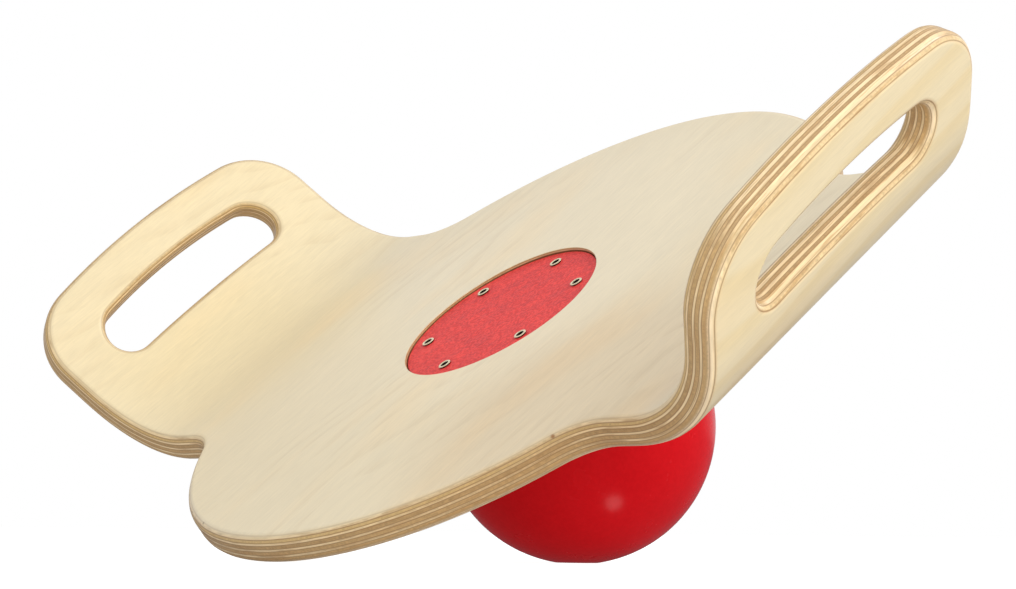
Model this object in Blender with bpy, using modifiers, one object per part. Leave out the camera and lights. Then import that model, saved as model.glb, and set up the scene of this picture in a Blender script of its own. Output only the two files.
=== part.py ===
"""Ball balance board: a moulded plywood board with two raised handles on an air-filled ball.

Every size is in metres. The board is designed level, with its middle surface near z = 0, and the
level design is then tipped forward onto its natural rest: the ball and the front edge on the floor.
X runs from handle to handle, Y from the front lobe to the back lobe.
"""
import bpy
import bmesh
from math import asin, atan2, ceil, cos, pi, radians, sin, sqrt
from mathutils import Matrix, Vector

# Driving dimensions of the plywood board
PLY_THICKNESS = 0.0165
EDGE_ROUND = 0.0050
LOBE_RADIUS = 0.1886
WING_HALF_WIDTH = 0.1005
NOTCH_RADIUS = 0.0344
WING_REACH = 0.3366
TIP_RADIUS = 0.4585
TIP_CORNER_RADIUS = 0.0396
DECK_HALF_WIDTH = 0.1918
DECK_CROWN = 0.0017
BEND_RADIUS = 0.0834
BEND_ANGLE = radians(56.1)
WING_CURVE_RADIUS = 1.017

# Hand slots, measured along the unbent board
SLOT_CENTRE = 0.2880
SLOT_HALF_WIDTH = 0.0141
SLOT_HALF_LENGTH = 0.0660
SLOT_BOW = 0.0059
SLOT_INNER_SHARE = 0.35

# Clearances
REST_GAP = 0.0003
HOLE_GAP = 0.0003

# Round cover plate in its pocket
PLATE_RADIUS = 0.0558
PLATE_THICKNESS = 0.0032
PLATE_SINK = 0.0020
PLATE_EDGE = 0.0005

# Screws, cup washers and nuts
SCREW_COUNT = 6
SCREW_RING_RADIUS = 0.0453
SCREW_RADIUS = 0.0015
SCREW_HEAD_RADIUS = 0.0019
SCREW_HEAD_HEIGHT = 0.0025
SCREW_TAIL = 0.0018
SOCKET_RADIUS = 0.00115
SOCKET_DEPTH = 0.0014
CUP_FLANGE_RADIUS = 0.0034
CUP_FLANGE_THICKNESS = 0.0007
CUP_WALL = 0.0004
CUP_FLOOR = 0.0005
NUT_ACROSS_FLATS = 0.0055
NUT_THICKNESS = 0.0024

# Ball
BALL_RADIUS = 0.0716
BALL_CENTRE_DEPTH = 0.0666
BALL_WALL = 0.0032
BALL_COLLAR_RADIUS = 0.0540
BALL_COLLAR_FILLET = 0.0060
BALL_COLLAR_EDGE = 0.0009
BALL_LEAN = Vector((0.0028, 0.0026, 0.0))
FLOOR_SQUASH = 0.0008
CLAMP_THICKNESS = 0.0050
CLAMP_EDGE = 0.0008

# Air valve on the back of the ball
VALVE_ELEVATION = radians(-12.0)
VALVE_BARREL_RADIUS = 0.0052
VALVE_FLANGE_RADIUS = 0.0078
VALVE_FLANGE_THICKNESS = 0.0012
VALVE_BORE_RADIUS = 0.0026
VALVE_LENGTH = 0.0110
PLUG_HEAD_RADIUS = 0.0050
PLUG_HEAD_THICKNESS = 0.0018
PLUG_TAPER = 0.0003

# Smoothness of the round forms
BALL_STEPS = 60
ROUND_STEPS = 36
SMALL_STEPS = 16
ARC_STEP = radians(6.5)
BEND_STEP = radians(4.4)
DECK_STEP = 0.025

# Worked-out levels on the axis of the ball
HALF_PLY = PLY_THICKNESS / 2
DECK_TOP = DECK_CROWN + HALF_PLY
POCKET_RADIUS = PLATE_RADIUS + HOLE_GAP
PLATE_TOP = DECK_TOP - PLATE_SINK
PLATE_BASE = PLATE_TOP - PLATE_THICKNESS
POCKET_FLOOR = PLATE_BASE - REST_GAP
HOLE_RADIUS = SCREW_RADIUS + HOLE_GAP
CUP_BORE_RADIUS = SCREW_HEAD_RADIUS + HOLE_GAP
CUP_RADIUS = CUP_BORE_RADIUS + CUP_WALL
PLATE_HOLE_RADIUS = CUP_RADIUS + HOLE_GAP
CUP_FLANGE_BASE = PLATE_TOP + REST_GAP
CUP_TOP = CUP_FLANGE_BASE + CUP_FLANGE_THICKNESS
CUP_BASE = POCKET_FLOOR + REST_GAP
HEAD_BASE = CUP_BASE + CUP_FLOOR + REST_GAP
HEAD_TOP = HEAD_BASE + SCREW_HEAD_HEIGHT


def crown_height(s):
    """Height of the deck's slight crown at distance s from the middle of the board."""
    if abs(s) >= DECK_HALF_WIDTH:
        return 0.0
    return DECK_CROWN * cos(pi * s / (2 * DECK_HALF_WIDTH)) ** 2


COLLAR_TOP = crown_height(BALL_COLLAR_RADIUS) - HALF_PLY - REST_GAP
COLLAR_INSIDE = COLLAR_TOP - BALL_WALL
CLAMP_TOP = COLLAR_INSIDE - REST_GAP
CLAMP_BASE = CLAMP_TOP - CLAMP_THICKNESS
NUT_TOP = CLAMP_BASE - REST_GAP
NUT_BASE = NUT_TOP - NUT_THICKNESS
SCREW_TIP = NUT_BASE - SCREW_TAIL
BALL_INNER_RADIUS = BALL_RADIUS - BALL_WALL
COLLAR_INNER_RADIUS = BALL_COLLAR_RADIUS - BALL_WALL
CLAMP_RADIUS = COLLAR_INNER_RADIUS - 2 * HOLE_GAP


# Start from an empty scene
for old in list(bpy.data.objects):
    bpy.data.objects.remove(old, do_unlink=True)

parts = bpy.context.scene.collection
cutters = bpy.data.collections.new("cutters")
parts.children.link(cutters)


def material(name, colour, roughness, metallic=0.0):
    """A plain surface material for one piece."""
    mat = bpy.data.materials.new(name)
    mat.use_nodes = True
    shader = mat.node_tree.nodes["Principled BSDF"]
    shader.inputs["Base Color"].default_value = (*colour, 1.0)
    shader.inputs["Roughness"].default_value = roughness
    shader.inputs["Metallic"].default_value = metallic
    return mat


def add_object(name, mesh, mat, parent, location=(0, 0, 0)):
    """Put a mesh in the scene as one named piece."""
    obj = bpy.data.objects.new(name, mesh)
    parts.objects.link(obj)
    obj.parent = parent
    obj.location = location
    if mat is not None:
        mesh.materials.clear()
        mesh.materials.append(mat)
    return obj


def hide_cutter(obj):
    """Keep a cutting body out of the part itself."""
    for collection in list(obj.users_collection):
        collection.objects.unlink(obj)
    cutters.objects.link(obj)
    obj.hide_render = True
    obj.display_type = 'WIRE'
    return obj


def smooth(mesh, angle=radians(30)):
    """Smooth shading with real edges kept sharp."""
    mesh.shade_smooth()
    mesh.set_sharp_from_angle(angle=angle)


def cut(obj, cutter, label):
    """Remove a cutter's volume from a piece."""
    mod = obj.modifiers.new(label, 'BOOLEAN')
    mod.operation = 'DIFFERENCE'
    mod.solver = 'EXACT'
    mod.object = cutter


def turned_mesh(name, profile, steps, closed=False):
    """Turn a profile of (radius, height) points about the Z axis."""
    mesh = bpy.data.meshes.new(name + "_profile")
    edges = [(i, i + 1) for i in range(len(profile) - 1)]
    if closed:
        edges.append((len(profile) - 1, 0))
    mesh.from_pydata([(r, 0.0, z) for r, z in profile], edges, [])
    tool = bpy.data.objects.new(name + "_profile", mesh)
    parts.objects.link(tool)
    screw = tool.modifiers.new("turn", 'SCREW')
    screw.axis = 'Z'
    screw.angle = 2 * pi
    screw.steps = steps
    screw.render_steps = steps
    screw.use_merge_vertices = True
    screw.merge_threshold = 0.00001
    screw.use_smooth_shade = True
    shaped = tool.evaluated_get(bpy.context.evaluated_depsgraph_get())
    result = bpy.data.meshes.new_from_object(shaped)
    result.name = name
    bpy.data.objects.remove(tool, do_unlink=True)
    bm = bmesh.new()
    bm.from_mesh(result)
    bmesh.ops.remove_doubles(bm, verts=bm.verts, dist=0.000001)
    bmesh.ops.recalc_face_normals(bm, faces=bm.faces)
    bm.to_mesh(result)
    bm.free()
    smooth(result)
    return result


def pin_mesh(name, radius, low, high, steps):
    """A plain round bar from low to high."""
    return turned_mesh(name, [(0, low), (radius, low), (radius, high), (0, high)], steps)


def prism_mesh(name, across_flats, low, high):
    """A hexagonal bar from low to high."""
    bm = bmesh.new()
    bmesh.ops.create_cone(bm, cap_ends=True, segments=6, radius1=across_flats / sqrt(3),
                          radius2=across_flats / sqrt(3), depth=high - low,
                          matrix=Matrix.Translation((0, 0, (low + high) / 2)))
    bmesh.ops.recalc_face_normals(bm, faces=bm.faces)
    mesh = bpy.data.meshes.new(name)
    bm.to_mesh(mesh)
    bm.free()
    return mesh


def arc(centre, radius, start, end, step=ARC_STEP):
    """Points along an arc, both ends included."""
    count = max(2, ceil(abs(end - start) / step))
    turns = [start + (end - start) * i / count for i in range(count + 1)]
    return [(centre[0] + radius * cos(t), centre[1] + radius * sin(t)) for t in turns]


# Outline of the unbent board: one quarter, from the tip of a wing to the middle of a lobe
def quarter_outline():
    corner_y = WING_HALF_WIDTH - TIP_CORNER_RADIUS
    tip_turn = asin(corner_y / (TIP_RADIUS - TIP_CORNER_RADIUS))
    tip = arc((WING_REACH - TIP_RADIUS, 0.0), TIP_RADIUS, 0.0, tip_turn, tip_turn / 5)
    corner_x = tip[-1][0] - TIP_CORNER_RADIUS * cos(tip_turn)
    corner = arc((corner_x, corner_y), TIP_CORNER_RADIUS, tip_turn, pi / 2)
    notch_y = WING_HALF_WIDTH + NOTCH_RADIUS
    notch_x = sqrt((LOBE_RADIUS + NOTCH_RADIUS) ** 2 - notch_y ** 2)
    lobe_turn = atan2(notch_y, notch_x)
    notch = arc((notch_x, notch_y), NOTCH_RADIUS, -pi / 2, lobe_turn - pi)
    side_count = 5
    side = [(corner[-1][0] + (notch[0][0] - corner[-1][0]) * i / side_count, WING_HALF_WIDTH)
            for i in range(1, side_count)]
    lobe = arc((0.0, 0.0), LOBE_RADIUS, lobe_turn, pi / 2, ARC_STEP / 2)
    return tip + corner[1:] + side + notch + lobe[1:]


def full_outline():
    quarter = quarter_outline()
    left = [(-x, y) for x, y in reversed(quarter[:-1])]
    upper = quarter + left
    lower = [(x, -y) for x, y in reversed(upper[1:-1])]
    return upper + lower


# Hand slot on the right wing: a long hole whose outer side is bowed outward
def slot_outline():
    straight = SLOT_HALF_LENGTH - SLOT_HALF_WIDTH
    side = [(SLOT_HALF_WIDTH, -straight + 2 * straight * i / 8) for i in range(9)]
    far_end = arc((0.0, straight), SLOT_HALF_WIDTH, 0.0, pi, radians(15))
    back = [(-x, -y) for x, y in side]
    near_end = arc((0.0, -straight), SLOT_HALF_WIDTH, pi, 2 * pi, radians(15))
    loop = side + far_end[1:] + back[1:] + near_end[1:-1]
    points = []
    for x, y in loop:
        outer_share = (x + SLOT_HALF_WIDTH) / (2 * SLOT_HALF_WIDTH)
        share = SLOT_INNER_SHARE + (1 - SLOT_INNER_SHARE) * outer_share
        bow = SLOT_BOW * (1 - (y / SLOT_HALF_LENGTH) ** 2) * share
        points.append((SLOT_CENTRE + x + bow, y))
    return points


def bent(s, y, lift):
    """Place a point of the unbent board (s, y), lifted off its middle surface, on the bent one."""
    side = -1 if s < 0 else 1
    run = abs(s)
    bend_end = DECK_HALF_WIDTH + BEND_RADIUS * BEND_ANGLE
    turn = min(max((run - DECK_HALF_WIDTH) / BEND_RADIUS, 0.0), BEND_ANGLE)
    x = min(run, DECK_HALF_WIDTH) + BEND_RADIUS * sin(turn)
    z = BEND_RADIUS * (1 - cos(turn)) + crown_height(run)
    if run > bend_end:
        turn = BEND_ANGLE + (run - bend_end) / WING_CURVE_RADIUS
        x += WING_CURVE_RADIUS * (sin(turn) - sin(BEND_ANGLE))
        z += WING_CURVE_RADIUS * (cos(BEND_ANGLE) - cos(turn))
    return Vector((side * (x - sin(turn) * lift), y, z + cos(turn) * lift))


def bend_stations():
    """Distances from the middle at which the flat blank gets a fold line."""
    deck_count = ceil(DECK_HALF_WIDTH / DECK_STEP)
    stations = [DECK_HALF_WIDTH * i / deck_count for i in range(deck_count + 1)]
    bend_count = ceil(BEND_ANGLE / BEND_STEP)
    stations += [DECK_HALF_WIDTH + BEND_RADIUS * BEND_ANGLE * i / bend_count
                 for i in range(1, bend_count + 1)]
    wing_start = stations[-1]
    wing_count = 3
    stations += [wing_start + (WING_REACH - wing_start) * i / wing_count
                 for i in range(1, wing_count)]
    return sorted({round(side * s, 7) for s in stations for side in (-1, 1)})


def lies_in_flat_face(edge):
    """Whether an edge of the flat blank is inside its top or bottom face."""
    return all(abs(face.normal.z) > 0.9999 for face in edge.link_faces)


def lies_on_station(edge, stations):
    """Whether an edge of the flat blank is part of one of its fold lines."""
    first, last = (vert.co.x for vert in edge.verts)
    return abs(first - last) < 0.000002 and min(abs(first - s) for s in stations) < 0.000002


def board_mesh():
    """Cut the flat blank with its hand slots, round its edges, then bend it to shape."""
    curve = bpy.data.curves.new("board_outline", 'CURVE')
    curve.dimensions = '2D'
    curve.fill_mode = 'BOTH'
    slot = slot_outline()
    mirrored_slot = [(-x, y) for x, y in reversed(slot)]
    for loop in (full_outline(), slot, mirrored_slot):
        spline = curve.splines.new('POLY')
        spline.points.add(len(loop) - 1)
        for point, (x, y) in zip(spline.points, loop):
            point.co = (x, y, 0.0, 1.0)
        spline.use_cyclic_u = True
    curve.extrude = HALF_PLY - EDGE_ROUND
    curve.bevel_depth = EDGE_ROUND
    curve.bevel_resolution = 1
    curve.offset = -EDGE_ROUND
    blank = bpy.data.objects.new("board_blank", curve)
    parts.objects.link(blank)
    shaped = blank.evaluated_get(bpy.context.evaluated_depsgraph_get())
    mesh = bpy.data.meshes.new_from_object(shaped)
    mesh.name = "board"
    bpy.data.objects.remove(blank, do_unlink=True)
    bm = bmesh.new()
    bm.from_mesh(mesh)
    bmesh.ops.remove_doubles(bm, verts=bm.verts, dist=0.000002)
    stations = bend_stations()
    for s in stations:
        geometry = bm.verts[:] + bm.edges[:] + bm.faces[:]
        bmesh.ops.bisect_plane(bm, geom=geometry, dist=0.000002, plane_co=(s, 0, 0), plane_no=(1, 0, 0))
    bm.normal_update()
    loose = [edge for edge in bm.edges if lies_in_flat_face(edge) and not lies_on_station(edge, stations)]
    bmesh.ops.dissolve_edges(bm, edges=loose, use_verts=True)
    bmesh.ops.dissolve_degenerate(bm, dist=0.000002, edges=bm.edges)
    bmesh.ops.triangulate(bm, faces=bm.faces)
    for vert in bm.verts:
        vert.co = bent(*vert.co)
    bmesh.ops.recalc_face_normals(bm, faces=bm.faces)
    bm.to_mesh(mesh)
    bm.free()
    smooth(mesh, radians(35))
    return mesh


# Rest pose: the board tips until its front lower edge is level with the lowest point of the ball
def rest_tilt():
    rim = [bent(x * (LOBE_RADIUS - EDGE_ROUND) / LOBE_RADIUS, y * (LOBE_RADIUS - EDGE_ROUND) / LOBE_RADIUS,
                EDGE_ROUND - HALF_PLY) for x, y in full_outline() if y < 0]
    centre = BALL_LEAN + Vector((0, 0, -BALL_CENTRE_DEPTH))
    low, high = 0.0, radians(80)
    for _ in range(40):
        tilt = (low + high) / 2
        up = Vector((0, sin(tilt), cos(tilt)))
        edge_height = min(point.dot(up) for point in rim) - EDGE_ROUND
        ball_height = centre.dot(up) - BALL_RADIUS + FLOOR_SQUASH
        if edge_height > ball_height:
            low = tilt
        else:
            high = tilt
    return low


REST_TILT = rest_tilt()
BALL_CENTRE = BALL_LEAN + Vector((0, 0, -BALL_CENTRE_DEPTH))
level = bpy.data.objects.new("level_board_frame", None)
parts.objects.link(level)
level.rotation_euler = (REST_TILT, 0, 0)
tipped_centre = Matrix.Rotation(REST_TILT, 3, 'X') @ BALL_CENTRE
level.location = Vector((0, 0, BALL_RADIUS - FLOOR_SQUASH)) - tipped_centre

# Materials
wood = material("plywood", (0.80, 0.68, 0.49), 0.42)
plate_red = material("cover_plate_red", (0.76, 0.07, 0.07), 0.55)
brass = material("cup_washer_brass", (0.78, 0.62, 0.38), 0.30, 1.0)
screw_black = material("screw_black", (0.03, 0.03, 0.035), 0.40, 0.8)
zinc = material("nut_zinc", (0.62, 0.63, 0.64), 0.35, 1.0)
clamp_grey = material("clamp_disc_grey", (0.18, 0.18, 0.19), 0.55)
ball_red = material("ball_red", (0.62, 0.01, 0.02), 0.25)
valve_grey = material("valve_rubber", (0.10, 0.10, 0.11), 0.60)
plug_white = material("valve_plug_white", (0.82, 0.82, 0.80), 0.45)

# Screw places: one on the front-to-back line, the rest evenly round the ring
screw_places = []
for index in range(SCREW_COUNT):
    turn = pi / 2 + 2 * pi * index / SCREW_COUNT
    screw_places.append((SCREW_RING_RADIUS * cos(turn), SCREW_RING_RADIUS * sin(turn)))


def ring_of_holes(name, radius, low, high, steps=SMALL_STEPS):
    """One cutter holding a round bar at every screw place."""
    bm = bmesh.new()
    for x, y in screw_places:
        bmesh.ops.create_cone(bm, cap_ends=True, segments=steps, radius1=radius, radius2=radius,
                              depth=high - low, matrix=Matrix.Translation((x, y, (low + high) / 2)))
    bmesh.ops.recalc_face_normals(bm, faces=bm.faces)
    mesh = bpy.data.meshes.new(name)
    bm.to_mesh(mesh)
    bm.free()
    return hide_cutter(add_object(name, mesh, None, level))


# Board: bent blank, pocket for the plate, screw holes below it
board = add_object("board", board_mesh(), wood, level)
pocket = hide_cutter(add_object("pocket_cutter", pin_mesh("pocket_cutter", POCKET_RADIUS, POCKET_FLOOR,
                                DECK_TOP + PLY_THICKNESS, ROUND_STEPS * 2), None, level))
cut(board, pocket, "pocket")
cut(board, ring_of_holes("board_hole_cutter", HOLE_RADIUS, -PLY_THICKNESS, PLY_THICKNESS), "screw holes")

# Cover plate
plate_profile = [(0, PLATE_BASE), (PLATE_RADIUS, PLATE_BASE), (PLATE_RADIUS, PLATE_TOP - PLATE_EDGE),
                 (PLATE_RADIUS - PLATE_EDGE, PLATE_TOP), (0, PLATE_TOP)]
cover_plate = add_object("cover_plate", turned_mesh("cover_plate", plate_profile, ROUND_STEPS * 2),
                         plate_red, level)
cut(cover_plate, ring_of_holes("plate_hole_cutter", PLATE_HOLE_RADIUS, PLATE_BASE - PLATE_THICKNESS,
                               PLATE_TOP + PLATE_THICKNESS), "cup holes")

# Cup washers, screws and nuts at each screw place
cup_profile = [
    (HOLE_RADIUS, CUP_BASE), (CUP_RADIUS, CUP_BASE), (CUP_RADIUS, CUP_FLANGE_BASE),
    (CUP_FLANGE_RADIUS, CUP_FLANGE_BASE), (CUP_FLANGE_RADIUS * 0.95, CUP_TOP - CUP_FLANGE_THICKNESS * 0.4),
    (CUP_FLANGE_RADIUS * 0.82, CUP_TOP), (CUP_BORE_RADIUS + CUP_WALL * 0.4, CUP_TOP),
    (CUP_BORE_RADIUS, CUP_TOP - CUP_WALL * 0.4), (CUP_BORE_RADIUS, CUP_BASE + CUP_FLOOR),
    (HOLE_RADIUS, CUP_BASE + CUP_FLOOR)]
head_chamfer = SCREW_HEAD_RADIUS * 0.12
screw_profile = [
    (0, SCREW_TIP), (SCREW_RADIUS - head_chamfer, SCREW_TIP), (SCREW_RADIUS, SCREW_TIP + head_chamfer),
    (SCREW_RADIUS, HEAD_BASE), (SCREW_HEAD_RADIUS, HEAD_BASE), (SCREW_HEAD_RADIUS, HEAD_TOP - head_chamfer),
    (SCREW_HEAD_RADIUS - head_chamfer, HEAD_TOP), (0, HEAD_TOP)]
for number, (x, y) in enumerate(screw_places, start=1):
    place = (x, y, 0)
    add_object(f"cup_washer_{number}", turned_mesh(f"cup_washer_{number}", cup_profile, SMALL_STEPS, True),
               brass, level, place)
    screw = add_object(f"plate_screw_{number}", turned_mesh(f"plate_screw_{number}", screw_profile, SMALL_STEPS),
                       screw_black, level, place)
    socket = hide_cutter(add_object(f"socket_cutter_{number}", prism_mesh(f"socket_cutter_{number}",
                         SOCKET_RADIUS * 2, HEAD_TOP - SOCKET_DEPTH, HEAD_TOP + SOCKET_DEPTH),
                         None, level, place))
    cut(screw, socket, "hex socket")
    nut = add_object(f"lock_nut_{number}", prism_mesh(f"lock_nut_{number}", NUT_ACROSS_FLATS, NUT_BASE, NUT_TOP),
                     zinc, level, place)
    nut_bore = hide_cutter(add_object(f"nut_cutter_{number}", pin_mesh(f"nut_cutter_{number}", HOLE_RADIUS,
                           NUT_BASE - NUT_THICKNESS, NUT_TOP + NUT_THICKNESS, SMALL_STEPS), None, level, place))
    cut(nut, nut_bore, "nut bore")

# Clamp disc inside the ball's collar
clamp_profile = [(0, CLAMP_BASE), (CLAMP_RADIUS - CLAMP_EDGE, CLAMP_BASE), (CLAMP_RADIUS, CLAMP_BASE + CLAMP_EDGE),
                 (CLAMP_RADIUS, CLAMP_TOP - CLAMP_EDGE), (CLAMP_RADIUS - CLAMP_EDGE, CLAMP_TOP), (0, CLAMP_TOP)]
clamp_disc = add_object("clamp_disc", turned_mesh("clamp_disc", clamp_profile, ROUND_STEPS), clamp_grey, level)
cut(clamp_disc, ring_of_holes("clamp_hole_cutter", HOLE_RADIUS, CLAMP_BASE - CLAMP_THICKNESS,
                              CLAMP_TOP + CLAMP_THICKNESS), "screw holes")


# Ball: a hollow round shell with a flat-topped collar under the board
def ball_profile():
    fillet_x = BALL_COLLAR_RADIUS + BALL_COLLAR_FILLET
    fillet_z = sqrt((BALL_RADIUS + BALL_COLLAR_FILLET) ** 2 - fillet_x ** 2)
    fillet = arc((fillet_x, fillet_z - BALL_CENTRE_DEPTH), BALL_COLLAR_FILLET, pi,
                 pi + atan2(fillet_z, fillet_x), radians(16))
    start = asin(fillet_x / (BALL_RADIUS + BALL_COLLAR_FILLET))
    inner_start = asin(COLLAR_INNER_RADIUS / BALL_INNER_RADIUS)
    outer_count, inner_count = 18, 11
    outer = [(BALL_RADIUS * sin(t), BALL_RADIUS * cos(t) - BALL_CENTRE_DEPTH)
             for t in (start + (pi - start) * i / outer_count for i in range(1, outer_count))]
    inner = [(BALL_INNER_RADIUS * sin(t), BALL_INNER_RADIUS * cos(t) - BALL_CENTRE_DEPTH)
             for t in (inner_start + (pi - inner_start) * i / inner_count for i in range(inner_count))]
    skin = [(0, COLLAR_TOP), (BALL_COLLAR_RADIUS - BALL_COLLAR_EDGE, COLLAR_TOP),
            (BALL_COLLAR_RADIUS, COLLAR_TOP - BALL_COLLAR_EDGE)] + fillet + outer
    skin.append((0, -BALL_CENTRE_DEPTH - BALL_RADIUS))
    hollow = [(0, -BALL_CENTRE_DEPTH - BALL_INNER_RADIUS)] + inner[::-1]
    hollow += [(COLLAR_INNER_RADIUS, COLLAR_INSIDE), (0, COLLAR_INSIDE)]
    return skin, hollow


skin_profile, hollow_profile = ball_profile()
ball_mesh = turned_mesh("ball_shell", skin_profile, BALL_STEPS)
hollow_mesh = turned_mesh("ball_hollow_cutter", hollow_profile, BALL_STEPS // 2)
collar_foot = -BALL_CENTRE_DEPTH + BALL_RADIUS * cos(asin(BALL_COLLAR_RADIUS / BALL_RADIUS))
for mesh in (ball_mesh, hollow_mesh):
    for vert in mesh.vertices:
        share = min(max((collar_foot - vert.co.z) / (collar_foot + BALL_CENTRE_DEPTH), 0.0), 1.0)
        vert.co += BALL_LEAN * share
ball_shell = add_object("ball_shell", ball_mesh, ball_red, level)
ball_hollow = hide_cutter(add_object("ball_hollow_cutter", hollow_mesh, None, level))
cut(ball_shell, ball_hollow, "air space")
cut(ball_shell, ring_of_holes("ball_hole_cutter", HOLE_RADIUS, CLAMP_TOP - BALL_WALL,
                              COLLAR_TOP + BALL_WALL), "screw holes")

# The soft ball is flattened a little where it stands on the floor
floor_bm = bmesh.new()
bmesh.ops.create_cube(floor_bm, size=BALL_RADIUS)
floor_mesh = bpy.data.meshes.new("floor_cutter")
floor_bm.to_mesh(floor_mesh)
floor_bm.free()
floor_cutter = hide_cutter(add_object("floor_cutter", floor_mesh, None, None, (0, 0, -BALL_RADIUS / 2)))
cut(ball_shell, floor_cutter, "flat on the floor")

# Air valve: its own frame points out of the ball
valve_frame = bpy.data.objects.new("valve_frame", None)
parts.objects.link(valve_frame)
valve_frame.parent = level
valve_direction = Vector((0, cos(VALVE_ELEVATION), sin(VALVE_ELEVATION)))
valve_frame.location = BALL_CENTRE + valve_direction * BALL_RADIUS
valve_frame.rotation_euler = (VALVE_ELEVATION - pi / 2, 0, 0)
valve_cutter = hide_cutter(add_object("valve_cutter", pin_mesh("valve_cutter", VALVE_BARREL_RADIUS + HOLE_GAP,
                           -VALVE_LENGTH, VALVE_LENGTH, SMALL_STEPS), None, valve_frame))
cut(ball_shell, valve_cutter, "valve hole")
flange_sag = BALL_RADIUS - sqrt(BALL_RADIUS ** 2 - VALVE_BARREL_RADIUS ** 2)
flange_base = REST_GAP
flange_top = flange_base + VALVE_FLANGE_THICKNESS
seat_profile = [
    (VALVE_BORE_RADIUS, -VALVE_LENGTH), (VALVE_BARREL_RADIUS - flange_sag * 2, -VALVE_LENGTH),
    (VALVE_BARREL_RADIUS, -BALL_WALL * 2), (VALVE_BARREL_RADIUS, flange_base),
    (VALVE_FLANGE_RADIUS, flange_base), (VALVE_FLANGE_RADIUS, flange_base + VALVE_FLANGE_THICKNESS / 3),
    (VALVE_FLANGE_RADIUS * 0.88, flange_top), (VALVE_BORE_RADIUS, flange_top)]
add_object("valve_seat", turned_mesh("valve_seat", seat_profile, SMALL_STEPS, True), valve_grey, valve_frame)
plug_base = flange_top + REST_GAP
plug_top = plug_base + PLUG_HEAD_THICKNESS
plug_radius = VALVE_BORE_RADIUS - HOLE_GAP
plug_profile = [
    (0, -VALVE_LENGTH), (plug_radius - PLUG_TAPER * 2, -VALVE_LENGTH),
    (plug_radius - PLUG_TAPER, -VALVE_LENGTH + PLUG_TAPER * 2), (plug_radius, plug_base),
    (PLUG_HEAD_RADIUS, plug_base), (PLUG_HEAD_RADIUS, plug_top - PLUG_HEAD_THICKNESS / 3),
    (PLUG_HEAD_RADIUS * 0.85, plug_top), (0, plug_top)]
add_object("valve_plug", turned_mesh("valve_plug", plug_profile, SMALL_STEPS), plug_white, valve_frame)

bpy.context.view_layer.update()
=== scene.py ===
# %% [markdown]
# # The looks of a ball balance board
# The packed model has every piece at its real size and place. This script loads it and dresses it:
# a finely made plywood board, a speckled plate with its rings and screws, and a soft red ball.
# Each step says what the real thing is, how it could be made, and why this way was chosen.

# %% Load the packed model
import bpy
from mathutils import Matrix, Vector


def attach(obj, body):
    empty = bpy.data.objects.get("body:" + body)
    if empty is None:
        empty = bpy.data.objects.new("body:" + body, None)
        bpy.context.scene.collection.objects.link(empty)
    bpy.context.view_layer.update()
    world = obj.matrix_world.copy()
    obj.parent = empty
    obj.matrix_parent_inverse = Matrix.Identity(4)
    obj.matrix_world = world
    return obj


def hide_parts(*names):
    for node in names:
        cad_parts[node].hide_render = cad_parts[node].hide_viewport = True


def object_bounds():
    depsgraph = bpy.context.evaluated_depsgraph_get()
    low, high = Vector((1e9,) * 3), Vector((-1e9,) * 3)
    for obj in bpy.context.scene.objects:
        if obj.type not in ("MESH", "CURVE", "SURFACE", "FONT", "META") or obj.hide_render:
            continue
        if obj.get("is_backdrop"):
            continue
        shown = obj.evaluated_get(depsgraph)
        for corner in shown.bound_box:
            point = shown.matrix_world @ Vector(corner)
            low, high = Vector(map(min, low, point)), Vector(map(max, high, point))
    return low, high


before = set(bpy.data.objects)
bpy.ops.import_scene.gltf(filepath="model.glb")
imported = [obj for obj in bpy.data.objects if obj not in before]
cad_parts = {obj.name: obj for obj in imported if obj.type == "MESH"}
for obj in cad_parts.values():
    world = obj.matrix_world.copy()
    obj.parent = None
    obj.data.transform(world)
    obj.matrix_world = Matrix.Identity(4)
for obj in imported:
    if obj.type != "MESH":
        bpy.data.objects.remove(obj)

cad_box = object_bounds()

# %% Modules used below
from math import asin, atan, atan2, ceil, cos, hypot, pi, radians, sin, sqrt

import bmesh
import bpy
import numpy as np
from mathutils import Euler, Matrix, Vector
from mathutils.geometry import delaunay_2d_cdt

# %% [markdown]
# ## Sizes
# The board is drawn flat, x from handle to handle and y from front to back, and then bent. All sizes
# are in metres. They are the driving dimensions of the solid model, so the finer meshes here lie on the
# packed ones.

# %% Driving sizes of the board
PLY_THICKNESS = 0.0165
HALF_PLY = PLY_THICKNESS / 2
EDGE_ROUND = 0.0050
LOBE_RADIUS = 0.1886
WING_HALF_WIDTH = 0.1005
NOTCH_RADIUS = 0.0344
WING_REACH = 0.3366
TIP_RADIUS = 0.4585
TIP_CORNER_RADIUS = 0.0396
DECK_HALF_WIDTH = 0.1918
DECK_CROWN = 0.0017
BEND_RADIUS = 0.0834
BEND_ANGLE = radians(56.1)
WING_CURVE_RADIUS = 1.017
SLOT_CENTRE = 0.2880
SLOT_HALF_WIDTH = 0.0141
SLOT_HALF_LENGTH = 0.0660
SLOT_BOW = 0.0059
SLOT_INNER_SHARE = 0.35

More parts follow.
